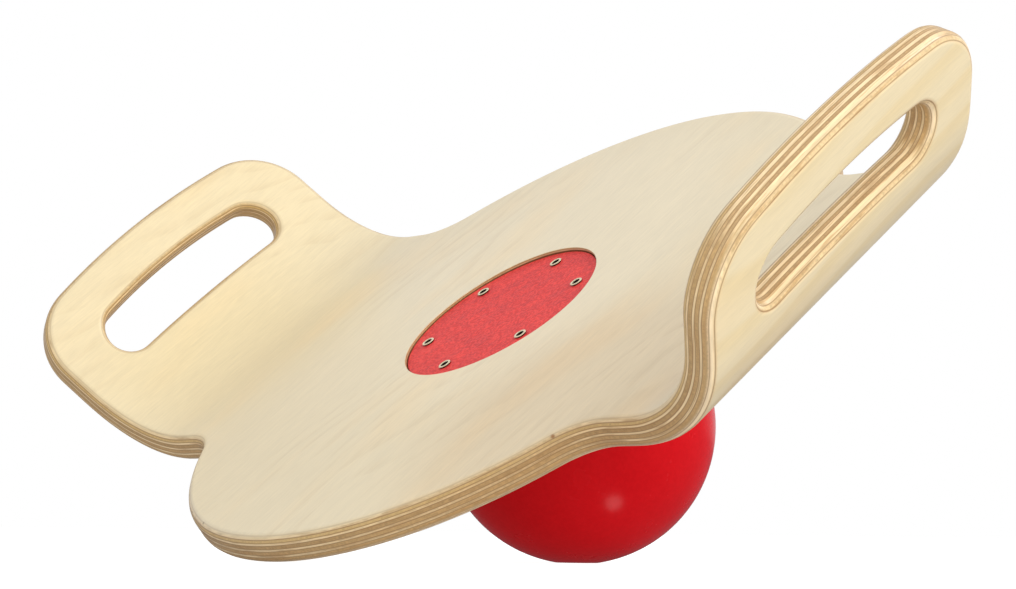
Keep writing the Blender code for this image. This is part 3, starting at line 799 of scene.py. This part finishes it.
# %% Plywood finish
FACE_WOOD = (0.800, 0.680, 0.470)
LONG_STRAIGHT, CUT_STRAIGHT = (0.830, 0.640, 0.400), (0.530, 0.345, 0.160)
LONG_CROSS, CUT_CROSS = (0.840, 0.650, 0.390), (0.530, 0.345, 0.175)
FLAME_BROWN = (0.600, 0.450, 0.260)
BLUSH_WOOD = (0.830, 0.670, 0.430)
WAVE_WOOD = (0.770, 0.610, 0.350)
LINE_BROWN = (0.500, 0.300, 0.130)
GLUE_BROWN = (0.260, 0.125, 0.045)
POCKET_PAINTED_SHADE = (0.200, 0.090, 0.035)
OCHRE = (0.600, 0.430, 0.190)
PAINTED_RIM_HIGHLIGHT = (0.980, 0.800, 0.560)
# The first four rows are painted light and shade on the faces; the last two are small dark marks.
PAINTED_LIGHT_AND_MARKS = [  # middle, full within, gone beyond, tone
    ((-0.015, 0.055, HALF_PLY), 0.080, 0.190, (1.05, 1.06, 1.09)),
    ((0.145, -0.085, HALF_PLY), 0.050, 0.125, (0.93, 0.89, 0.86)),
    ((-0.215, -0.030, HALF_PLY), 0.030, 0.110, (1.00, 0.98, 0.92)),
    ((-0.330, 0.000, HALF_PLY), 0.080, 0.180, (1.00, 0.99, 0.95)),
    ((-0.062, -0.176, HALF_PLY), 0.0006, 0.0016, (0.40, 0.33, 0.26)),
    ((0.1515, -0.1095, HALF_PLY - 0.0012), 0.0004, 0.0015, (0.55, 0.38, 0.28))]
UNDERSIDE = (0.001, 0.004)
UPPER_RIM = (HALF_PLY - 0.0052, HALF_PLY - 0.0034)
LOWER_RIM = (HALF_PLY - 0.0034, HALF_PLY - 0.0014)
POCKET_SIDE = (POCKET_RADIUS + 0.0002, POCKET_RADIUS + 0.0006)
POCKET_DEPTH = (-HALF_PLY + 0.001, -HALF_PLY + 0.002)
PALE_SKIN = (HALF_PLY - 0.0016, HALF_PLY - 0.0011)

plywood, tree, shader = finish_shader(
    "plywood_lacquered", Coat_Weight=0.15, Coat_Roughness=0.25, IOR=1.45)
place = put(tree, "Attribute", attribute_name="blank_place")["Vector"]
facing = put(tree, "Attribute", attribute_name="blank_facing")["Vector"]
depth = put(tree, "SeparateXYZ", {0: place})[2]
layers = use_group(tree, layer_group, Depth=depth)
cross = layers["Cross"]
fibres = use_group(tree, fibre_group, Place=place, Cross=cross, Shift=layers["Shift"])
figure = use_group(tree, figure_group, Place=place)
squares = put(tree, "SeparateXYZ", {0: scaled(facing, facing)})
below = depth * -1.0
underside = band(below, *UNDERSIDE)
on_face = band(squares[2], underside * 0.34 + 0.48, 0.99)
print("plywood: place, grain and faces known")

# %% Wood on the cut edges
into_grain = put(tree, "Mix", {0: cross, 2: squares[1], 3: squares[0]}, data_type="FLOAT")[0]
cut_ends = calculate("DIVIDE", into_grain, cross * 0.65 + 0.35, clamp=True)
edge_wood = mix_colour(cut_ends, mix_colour(cross, LONG_STRAIGHT, LONG_CROSS),
                       mix_colour(cross, CUT_STRAIGHT, CUT_CROSS))
edge_wood = mix_colour(band(fibres["Lines"], 0.50, 0.62) * 0.60, edge_wood, LINE_BROWN)
edge_wood = mix_colour(band(depth, *UPPER_RIM) * cut_ends * 0.6, edge_wood, OCHRE)
# Painted highlight: a pale band along the lower rim of the edges that face front and back.
rim_highlight_mask = band(below, *LOWER_RIM) * band(squares[1], 0.1, 0.4)
edge_wood = mix_colour(rim_highlight_mask * 0.9, edge_wood, PAINTED_RIM_HIGHLIGHT)
edge_wood = mix_colour(layers["Glue"] * (fibres["Streaks"] * 1.5), edge_wood, GLUE_BROWN)
print("plywood: edge wood ready")

# %% Wood on the faces with painted light and shade, and painted shade in the pocket
face_wood = mix_colour(figure["Blush"], FACE_WOOD, BLUSH_WOOD)
face_wood = mix_colour(figure["Waves"] * underside * 0.55, face_wood, WAVE_WOOD)
face_wood = mix_colour(figure["Flame"] * 0.22, face_wood, FLAME_BROWN)
from_middle = measure("LENGTH", scaled(place, (1.0, 1.0, 0.0)))
# Painted shade in the recess: the pocket's wall is darkened to a deep brown, all but its pale top skin.
pocket_shade_mask = (1.0 - band(from_middle, *POCKET_SIDE)) * band(depth, *POCKET_DEPTH)
pocket_shade_mask = pocket_shade_mask * (1.0 - band(depth, *PALE_SKIN) * 0.9)
wood = mix_colour(pocket_shade_mask, mix_colour(on_face, edge_wood, face_wood), POCKET_PAINTED_SHADE)
edge_streaks = (fibres["Streaks"] - 0.5) * (1.0 - on_face)
brightness = 1.0
for part, strength, centre in (
        (layers["Shade"], 0.70, 0.5), (figure["Cloud"], 0.08, 0.5), (fibres["Streaks"], 0.14, 0.5),
        (fibres["Hairs"], 0.17, 0.5), (edge_streaks, 0.70, 0.0)):
    brightness = brightness + (part - centre) * strength
grey = put(tree, "CombineColor", {0: brightness, 1: brightness, 2: brightness})[0]
wood = mix_colour(1.0, wood, grey, "MULTIPLY")
# Painted light and shade: brighter and cooler at the back of the deck, a painted shadow of the right wing on
# the front right, warmer light on the left bend and wing tip. Then two small dark marks.
for middle, inner, outer, tone in PAINTED_LIGHT_AND_MARKS:
    beyond = band(measure("DISTANCE", place, middle), inner, outer)
    wood = mix_colour(1.0 - beyond, wood, tone, "MULTIPLY")
dress(shader, wood, fibres["Hairs"] * 0.16 + 0.36, fibres["Hairs"], 0.10, 0.0004)
print("plywood finish has", len(tree.nodes), "nodes")


# %% Put the board on its body
def add_piece(mesh, finish, slot, *nodes, body="board_and_ball"):
    """Show a mesh as one piece of its own name that rides on a body and stands for packed nodes."""
    piece = new_object(mesh.name, mesh)
    mesh.materials.clear()
    mesh.materials.append(finish)
    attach(piece, body)
    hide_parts(*nodes)
    return piece


board = add_piece(board_mesh, plywood, "plywood", "board")
print("the board is shown as", board.name)

# %% [markdown]
# ## Speckle
# Moulded plastic and rubber are rarely one even colour: tiny light and dark grains lie close together,
# and the skin has a fine relief. One group gives grains at two scales and a height. The plate, the ball,
# the clamp disc and the valve use it with their own values.

# %% Group: fine speckle
NOISE_LOW, NOISE_HIGH = 0.3, 0.7
COARSE_SHARE = 0.16

speckle_group, speckle_in, speckle_out = new_group(
    "fine_speckle", {"Place": None, "Scale": 1500.0}, ("Grain", "Mottle", "Relief"))
grain = noise(speckle_in["Place"], speckle_in["Scale"], 2.0, 0.7)
mottle = noise(speckle_in["Place"], speckle_in["Scale"] * COARSE_SHARE, 3.0, 0.6)
cells = put(speckle_group, "TexVoronoi", {"Vector": speckle_in["Place"], "Scale": speckle_in["Scale"]})[0]
give(speckle_out, Grain=grain, Mottle=mottle, Relief=(cells + grain) * 0.5)


def spread(value, low, high):
    """A noise spread evenly from low to high."""
    return put(value.tree, "MapRange", {0: value, 1: NOISE_LOW, 2: NOISE_HIGH, 3: low, 4: high})[0]


def speckled_finish(name, colours, scale, relief, rough, height="Relief", **values):
    """A moulded finish between two colours, with grains, mottling and a fine relief."""
    material, tree, shader = finish_shader(name, **values)
    speckle = use_group(tree, speckle_group, Place=put(tree, "TexCoord")["Object"], Scale=scale)
    coarse = band(speckle["Mottle"], NOISE_LOW, NOISE_HIGH)
    blend = band(speckle["Grain"], 0.38, 0.62) * 0.6 + coarse * 0.4
    rough = spread(speckle["Mottle"], *rough)
    dress(shader, mix_colour(blend, *colours), rough, speckle[height], relief, 0.0003)
    return material


print("group fine_speckle ready")

# %% [markdown]
# ## The cover plate
# A thin round plate of grained red plastic sits a little below the deck. Its six holes take the cup
# rings. It is the same kind of sheet as the board, with a softly broken upper edge.

# %% Cover plate
PLATE_HOLE_RADIUS = CUP_RADIUS + GAP
PLATE_HOLE_STEPS = 32
PLATE_GRID = (0.006, 0.006, 0.0025)
PLATE_REDS = (0.62, 0.018, 0.020), (0.98, 0.080, 0.066)

plate_wall = [(0.0, PLATE_BASE, 1.0, 0.0)]
plate_outline = circle((0, 0), PLATE_RADIUS, POCKET_STEPS)
plate_holes = [circle(place, PLATE_HOLE_RADIUS, PLATE_HOLE_STEPS) for place in screw_places]
plate = Sheet()
plate_rows = [plate.rim(plate_outline, 1, broken_edge(PLATE_EDGE, PLATE_TOP) + plate_wall)]
plate_rows += [plate.rim(loop, -1, [(0.0, PLATE_TOP, 0.0, 1.0)] + plate_wall) for loop in plate_holes]
plate_grid = grid_points([plate_outline] + plate_holes, *PLATE_GRID)
plate.cap([rows[0] for rows in plate_rows], 1.0, PLATE_TOP, plate_grid)
plate.cap([rows[-1] for rows in plate_rows], -1.0, PLATE_BASE, plate_grid)

plate_red = speckled_finish("plate_grained_red", PLATE_REDS, 700.0, 0.6, (0.42, 0.60),
                            Specular_IOR_Level=0.35)
cover = add_piece(plate.mesh("speckled_plate"), plate_red, "cover_plate", "cover_plate")
print("plate faces:", len(cover.data.polygons))

# %% [markdown]
# ## Metal wear
# Plated metal shows faint turning lines, and a duller, darker tone where it has been touched. The group
# gives a wear mask and fine scratches for the rings, screws and nuts. Inside the cups hardly any light
# gets in, so the rings are dark there: a mask by height above the deck does that.

# %% Group: wear on metal
wear_group, wear_in, wear_out = new_group(
    "metal_wear", {"Place": None, "Scale": 900.0}, ("Wear", "Scratch"))
wear = noise(wear_in["Place"], wear_in["Scale"], 4.0, 0.65)
scratch = noise(scaled(wear_in["Place"], (1.0, 12.0, 12.0)), wear_in["Scale"])
give(wear_out, Wear=band(wear, 0.35, 0.75), Scratch=scratch)


def metal_finish(name, clean, worn, rough, **values):
    """A plated or painted metal with worn tones and fine scratches."""
    material, tree, shader = finish_shader(name, **values)
    marks = use_group(tree, wear_group, Place=put(tree, "TexCoord")["Object"])
    rough = spread(marks["Scratch"], *rough)
    dress(shader, mix_colour(marks["Wear"], clean, worn), rough, marks["Scratch"], 0.15, 0.0001)
    return material


# %% Metals
CUP_SHADOW = (0.020, 0.016, 0.012)
CUP_MOUTH = CUP_TOP - CUP_FLANGE_THICKNESS * 0.4
MOUTH_BLUR = 0.0001

brass = metal_finish("ring_pale_brass", (0.95, 0.86, 0.62), (0.84, 0.70, 0.45), (0.30, 0.46),
                     Metallic=0.35)
tree = brass.node_tree
base_colour = tree.nodes["Principled BSDF"].inputs["Base Color"]
deck_way = LEVEL.to_3x3() @ Vector((0, 0, 1))
height = measure("DOT_PRODUCT", put(tree, "TexCoord")["Object"], deck_way)
mouth = LEVEL.translation.dot(deck_way) + CUP_MOUTH
open_metal = band(height, mouth - MOUTH_BLUR, mouth + MOUTH_BLUR)
mix_colour(open_metal, CUP_SHADOW, Signal(base_colour.links[0].from_socket)).to(base_colour)
# Near-black screws: blackened steel, made darker still as painted shade deep in the cups.
screw_black = metal_finish("screw_black_and_painted_shade", (0.006, 0.006, 0.006), (0.012, 0.011, 0.010), (0.55, 0.75),
                           Metallic=0.0, Specular_IOR_Level=0.1)
zinc = metal_finish("nut_zinc", (0.62, 0.63, 0.65), (0.42, 0.43, 0.45), (0.25, 0.50), Metallic=1.0)
print("metal finishes:", brass.name, screw_black.name, zinc.name)

# %% [markdown]
# ## Cup rings and screws
# Each of the six places has a flanged cup that lines the hole, with a small socket screw sunk in it.
# From afar that is a pale ring with a dark centre. Both are turned forms, but the rings of points inside
# the screw's head follow a hexagon.

# %% Turned forms
WELD = 1e-6
SHARP_TURN = radians(32)


def turned_rows(profile, steps):
    """Rings of points for a profile of (radius, height) turned about the upright axis."""
    return [[(x, y, height) for x, y in circle((0, 0), radius, steps)] if radius else [(0, 0, height)]
            for radius, height in profile]


def ring_mesh(name, rows, place):
    """A smooth closed mesh through rings of points, with crisp corners, moved to a place matrix."""
    numbers = iter(range(sum(len(row) for row in rows)))
    mesh = bpy.data.meshes.new(name)
    mesh.from_pydata([point for row in rows for point in row], [],
                     joined([[next(numbers) for _ in row] for row in rows]))
    outward(mesh)
    mesh.transform(place)
    mesh.shade_smooth()
    mesh.set_sharp_from_angle(angle=SHARP_TURN)
    return mesh


def turned_mesh(name, profile, steps, place=LEVEL):
    """Turn a profile of (radius, height) about the axis of a place matrix."""
    return ring_mesh(name, turned_rows(profile, steps), place)


print("crisp edges where faces turn by more than", round(SHARP_TURN * 180 / pi), "degrees")


# %% Cup ring
def cup_mesh(name, place):
    """A flanged cup with a rolled rim and a floor that the screw passes through."""
    rolled = CUP_FLANGE_THICKNESS / 2
    lip = CUP_WALL / 2
    profile = [(HOLE_RADIUS, CUP_BASE), (CUP_RADIUS, CUP_BASE), (CUP_RADIUS, CUP_TOP - 2 * rolled)]
    profile += arc((CUP_FLANGE_RADIUS - rolled, CUP_TOP - rolled), rolled, -pi / 2, pi / 2, radians(31))
    profile += arc((CUP_BORE_RADIUS + lip, CUP_TOP - lip), lip, pi / 2, pi, radians(23))
    profile += [(CUP_BORE_RADIUS, CUP_BASE + CUP_FLOOR), (HOLE_RADIUS, CUP_BASE + CUP_FLOOR), profile[0]]
    return outward(turned_mesh(name, profile, CUP_STEPS, place), WELD)


# %% Screw with a hex socket
def screw_mesh(name, place, tip):
    """A small cap screw: turned shank and head, with a six-sided socket."""
    chamfer = SCREW_HEAD_RADIUS * 0.14
    socket_floor = HEAD_TOP - SOCKET_DEPTH
    rows = turned_rows([
        (0, tip), (SCREW_RADIUS - chamfer, tip), (SCREW_RADIUS, tip + chamfer), (SCREW_RADIUS, HEAD_BASE),
        (SCREW_HEAD_RADIUS, HEAD_BASE), (SCREW_HEAD_RADIUS, HEAD_TOP - chamfer),
        (SCREW_HEAD_RADIUS - chamfer, HEAD_TOP)], SCREW_STEPS)
    hexagon = [(t, SOCKET_RADIUS / cos(t % (pi / 3) - pi / 6)) for t in full_turn(SCREW_STEPS)]
    rows += [[(reach * cos(t), reach * sin(t), height) for t, reach in hexagon]
             for height in (HEAD_TOP, socket_floor)]
    rows.append([(0, 0, socket_floor - SOCKET_RADIUS * 0.3)])
    return ring_mesh(name, rows, place)


# %% Six cup rings and six screws
CUP_STEPS, SCREW_STEPS = 40, 36

screw_node = np.array([LEVEL.inverted() @ v.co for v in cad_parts["plate_screw_1"].data.vertices])
screw_tip = float(screw_node[:, 2].min())
for number, spot in enumerate(screw_places, start=1):
    place = LEVEL @ Matrix.Translation((*spot, 0))
    add_piece(cup_mesh(f"cup_ring_{number}", place), brass, "cup_washer", f"cup_washer_{number}")
    screw = screw_mesh(f"socket_screw_{number}", place, screw_tip)
    add_piece(screw, screw_black, "screw", f"plate_screw_{number}")
print("rings and screws:", len(screw_places), "of each, screw tip at", round(screw_tip * 1000, 2), "mm")

# %% [markdown]
# ## The ball
# The ball is soft moulded vinyl, air-filled, with a collar that bears on the underside of the board. Its
# skin is smooth, with a soft sheen. A sphere would do for the ball alone. A turned profile also gives the
# collar and its fillet. Where it stands, its lowest points are pressed flat, as a soft ball's are.

# %% Ball
BALL_STEPS = 144
BALL_ROWS = 56
BALL_SHARP = radians(38)
BORE_STEPS = 40
VALVE_ELEVATION = radians(-12.0)
VALVE_BARREL_RADIUS = 0.0052
VALVE_LENGTH = 0.0110
BALL_REDS = (0.62, 0.0045, 0.010), (0.67, 0.006, 0.012)


def ball_profile(wall, rows):
    """Profile of the ball and its collar, a wall's thickness inside the skin, from top to foot."""
    radius, collar, top = BALL_RADIUS - wall, BALL_COLLAR_RADIUS - wall, COLLAR_TOP - wall
    reach = collar + BALL_COLLAR_FILLET
    from_centre = radius + BALL_COLLAR_FILLET
    fillet_height = sqrt(from_centre ** 2 - reach ** 2)
    start = asin(reach / from_centre)
    edge = BALL_COLLAR_EDGE
    profile = [(0, top), (collar * 0.5, top), (collar - edge, top), (collar, top - edge)]
    profile += arc((reach, fillet_height - BALL_CENTRE_DEPTH), BALL_COLLAR_FILLET, pi, 1.5 * pi - start,
                   radians(8))
    profile += [(radius * sin(t), radius * cos(t) - BALL_CENTRE_DEPTH)
                for t in (start + (pi - start) * i / rows for i in range(1, rows))]
    return profile + [(0, -BALL_CENTRE_DEPTH - radius)]


def lean_ball(mesh):
    """Slide the round part of the ball sideways off the collar's axis."""
    foot = -BALL_CENTRE_DEPTH + BALL_RADIUS * cos(asin(BALL_COLLAR_RADIUS / BALL_RADIUS))
    back = LEVEL.inverted()
    for vert in mesh.vertices:
        flat = back @ vert.co
        share = min(max((foot - flat.z) / (foot + BALL_CENTRE_DEPTH), 0.0), 1.0)
        vert.co = LEVEL @ (flat + BALL_LEAN * share)


def cut_with(piece, cutter_mesh):
    """Take a mesh's volume out of a piece for good."""
    cutter = new_object(cutter_mesh.name, cutter_mesh)
    cut = piece.modifiers.new(cutter.name, "BOOLEAN")
    cut.operation = "DIFFERENCE"
    cut.solver = "EXACT"
    cut.object = cutter
    shaped = piece.evaluated_get(bpy.context.evaluated_depsgraph_get())
    result = bpy.data.meshes.new_from_object(shaped)
    piece.modifiers.clear()
    old, piece.data = piece.data, result
    bpy.data.objects.remove(cutter)
    bpy.data.meshes.remove(old)


ball_centre = LEVEL @ (BALL_LEAN + Vector((0, 0, -BALL_CENTRE_DEPTH)))
valve_out = (LEVEL.to_3x3() @ Vector((0, cos(VALVE_ELEVATION), sin(VALVE_ELEVATION)))).normalized()
valve_turn = valve_out.to_track_quat("Z", "Y").to_matrix().to_4x4()
VALVE = Matrix.Translation(ball_centre + valve_out * BALL_RADIUS) @ valve_turn
outside = turned_mesh("air_ball", ball_profile(0.0, BALL_ROWS), BALL_STEPS)
hollow = turned_mesh("ball_hollow", ball_profile(BALL_WALL, BALL_ROWS // 2), BALL_STEPS // 2)
for mesh in (outside, hollow):
    lean_ball(mesh)

ball_red = speckled_finish("ball_glossy_red", BALL_REDS, 420.0, 0.05, (0.23, 0.28), height="Mottle",
                           Specular_IOR_Level=0.08)
ball = add_piece(outside, ball_red, "ball", "ball_shell")
cut_with(ball, hollow)
bore = VALVE_BARREL_RADIUS + GAP
bore_profile = [(0, -VALVE_LENGTH), (bore, -VALVE_LENGTH), (bore, VALVE_LENGTH), (0, VALVE_LENGTH)]
cut_with(ball, turned_mesh("valve_bore", bore_profile, BORE_STEPS, VALVE))
for vert in ball.data.vertices:
    vert.co.z = max(vert.co.z, 0.0)
ball.data.shade_smooth()
ball.data.set_sharp_from_angle(angle=BALL_SHARP)
print("ball faces:", len(ball.data.polygons), "centre", [round(c, 4) for c in ball_centre])

# %% [markdown]
# ## The ball's highlight
# The photograph shows one soft spot on the ball, low on its right, made by something bright near the
# floor. A bright card would light the wood too, so a small lamp that only gloss mirrors lies there. Its
# place comes from the law of mirrors: the spot's normal halves the angle from the camera to the lamp.

# %% Spot lamp
HIGHLIGHT_FACING = Vector((0.235, -0.505, 0.830)).normalized()
HIGHLIGHT_SIZE = 0.014
HIGHLIGHT_LIFT = 0.006
HIGHLIGHT_POWER = 0.0030

mirror_way = CAMERA_AXES @ (HIGHLIGHT_FACING * (2 * HIGHLIGHT_FACING.z) - Vector((0, 0, 1)))
highlight = ball_centre + CAMERA_AXES @ HIGHLIGHT_FACING * BALL_RADIUS
spot_lamp = soft_lamp("spot_lamp", (0.0, 0.0, 1.0), HIGHLIGHT_SIZE, HIGHLIGHT_POWER)
spot_lamp.data.shape = "DISK"
spot_lamp.location = highlight + mirror_way * ((highlight.z - HIGHLIGHT_LIFT) / -mirror_way.z)
spot_lamp.rotation_euler = (-mirror_way).to_track_quat("-Z", "Y").to_euler()
spot_lamp.visible_camera = False
spot_lamp.visible_diffuse = False
print("spot lamp at", [round(c, 3) for c in spot_lamp.location])

# %% [markdown]
# ## The valve
# A rubber bushing with a broad lip sits in the back of the ball, closed by a plug with a head to pull it
# by. Both are turned on the valve's own axis. The plug rides on its own body, so it moves with the joint.

# %% Valve bushing and plug
VALVE_FLANGE_RADIUS = 0.0078
VALVE_FLANGE_THICKNESS = 0.0012
VALVE_BORE_RADIUS = 0.0026
VALVE_STEPS = 48
PLUG_HEAD_RADIUS = 0.0050
PLUG_HEAD_THICKNESS = 0.0018
PLUG_TAPER = 0.0003
LIP_SHARES = [(1.0, 0.0), (1.0, 0.35), (0.97, 0.7), (0.88, 1.0)]  # of radius, of thickness
HEAD_SHARES = [(0.96, 0.0), (1.0, 0.2), (1.0, 0.6), (0.93, 0.9), (0.8, 1.0), (0.55, 0.88), (0.0, 0.85)]
RUBBER_GREYS = (0.030, 0.030, 0.033), (0.075, 0.075, 0.080)
PLUG_WHITES = (0.66, 0.65, 0.62), (0.80, 0.79, 0.77)

sag = BALL_RADIUS - sqrt(BALL_RADIUS ** 2 - VALVE_BARREL_RADIUS ** 2)
lip_top = GAP + VALVE_FLANGE_THICKNESS
lip = [(VALVE_FLANGE_RADIUS * r, GAP + VALVE_FLANGE_THICKNESS * t) for r, t in LIP_SHARES]
bushing_profile = [
    (VALVE_BORE_RADIUS, -VALVE_LENGTH), (VALVE_BARREL_RADIUS - 2 * sag, -VALVE_LENGTH),
    (VALVE_BARREL_RADIUS, -2 * BALL_WALL), (VALVE_BARREL_RADIUS, GAP), *lip,
    (VALVE_BORE_RADIUS * 1.1, lip_top), (VALVE_BORE_RADIUS, lip_top - VALVE_BORE_RADIUS * 0.1),
    (VALVE_BORE_RADIUS, -VALVE_LENGTH)]
plug_base = lip_top + GAP
plug_radius = VALVE_BORE_RADIUS - GAP
head = [(PLUG_HEAD_RADIUS * r, plug_base + PLUG_HEAD_THICKNESS * t) for r, t in HEAD_SHARES]
plug_profile = [
    (0, -VALVE_LENGTH), (plug_radius - 2 * PLUG_TAPER, -VALVE_LENGTH),
    (plug_radius - PLUG_TAPER, -VALVE_LENGTH + 2 * PLUG_TAPER), (plug_radius, plug_base), *head]
rubber = speckled_finish("valve_grey_rubber", RUBBER_GREYS, 2000.0, 0.3, (0.55, 0.75))
plug_white = speckled_finish("plug_white_plastic", PLUG_WHITES, 1800.0, 0.15, (0.35, 0.50))
bushing_mesh = outward(turned_mesh("valve_bushing", bushing_profile, VALVE_STEPS, VALVE), WELD)
plug_mesh = turned_mesh("valve_stopper", plug_profile, VALVE_STEPS, VALVE)
add_piece(bushing_mesh, rubber, "valve_seat", "valve_seat")
add_piece(plug_mesh, plug_white, "valve_plug", "valve_plug", body="valve_plug")
print("valve axis", [round(a, 4) for a in valve_out])

# %% [markdown]
# ## Hidden fastenings
# The clamp disc and the lock nuts sit inside the ball's collar, where the screws pull them up. Their
# packed shapes are right as they are, so they stay and only get a finish.

# %% Finishes for the packed nodes that stay
CLAMP_GREYS = (0.050, 0.050, 0.055), (0.110, 0.110, 0.115)

clamp_grey = speckled_finish("clamp_grey_plastic", CLAMP_GREYS, 1400.0, 0.3, (0.45, 0.65))
kept_finishes = {f"lock_nut_{number}": zinc for number in range(1, SCREW_COUNT + 1)}
kept_finishes["clamp_disc"] = clamp_grey
for name, finish in kept_finishes.items():
    node_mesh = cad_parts[name].data
    node_mesh.materials.clear()
    node_mesh.materials.append(finish)
print("kept nodes:", sorted(kept_finishes))

# %% [markdown]
# ## Floor
# The floor is part of the picture, not of the object: plain, pale and a little uneven in tone. In the
# photograph it is as white as the backdrop. A floor that threw back that much light would flood the
# underside, so the extra white is only for the camera.

# %% Floor
FLOOR_SIZE = 60.0
FLOOR_WHITE = (0.95, 0.95, 0.95)
FLOOR_GLOW = (0.34, 0.32, 0.30)
FLOOR_MIRRORED = (0.10, 0.10, 0.11)
FLOOR_TONES = [(0.3, (0.30, 0.30, 0.30)), (0.7, (0.34, 0.34, 0.34))]

floor_mesh = bpy.data.meshes.new("floor")
bm = bmesh.new()
bmesh.ops.create_grid(bm, x_segments=2, y_segments=2, size=FLOOR_SIZE / 2)
bm.to_mesh(floor_mesh)
bm.free()
floor = new_object("floor", floor_mesh)
floor_pale, tree, shader = finish_shader("floor_pale", Roughness=0.9, Emission_Strength=1.0,
                                         Specular_IOR_Level=0.0)
tone = ramp(noise(put(tree, "TexCoord")["Object"], 1.5), FLOOR_TONES)
ray = put(tree, "LightPath")
glow = mix_colour(ray["Is Camera Ray"], FLOOR_GLOW, FLOOR_WHITE)
for colour, label in ((tone, "Base Color"), (glow, "Emission Color")):
    mix_colour(ray["Is Glossy Ray"], colour, FLOOR_MIRRORED).to(shader[label])
floor_mesh.materials.append(floor_pale)
floor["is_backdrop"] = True
print("floor", FLOOR_SIZE, "m wide")

# %% [markdown]
# ## Sizes
# The packed model's box and the dressed part's box are both printed. The dressed part has to stay inside
# the packed model's box.

# %% Print the sizes
sizes = {"cad": [list(corner) for corner in cad_box], "visual": [list(corner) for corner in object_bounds()]}
for label, (low, high) in sizes.items():
    print(label, [round((b - a) * 1000, 1) for a, b in zip(low, high)], "mm")
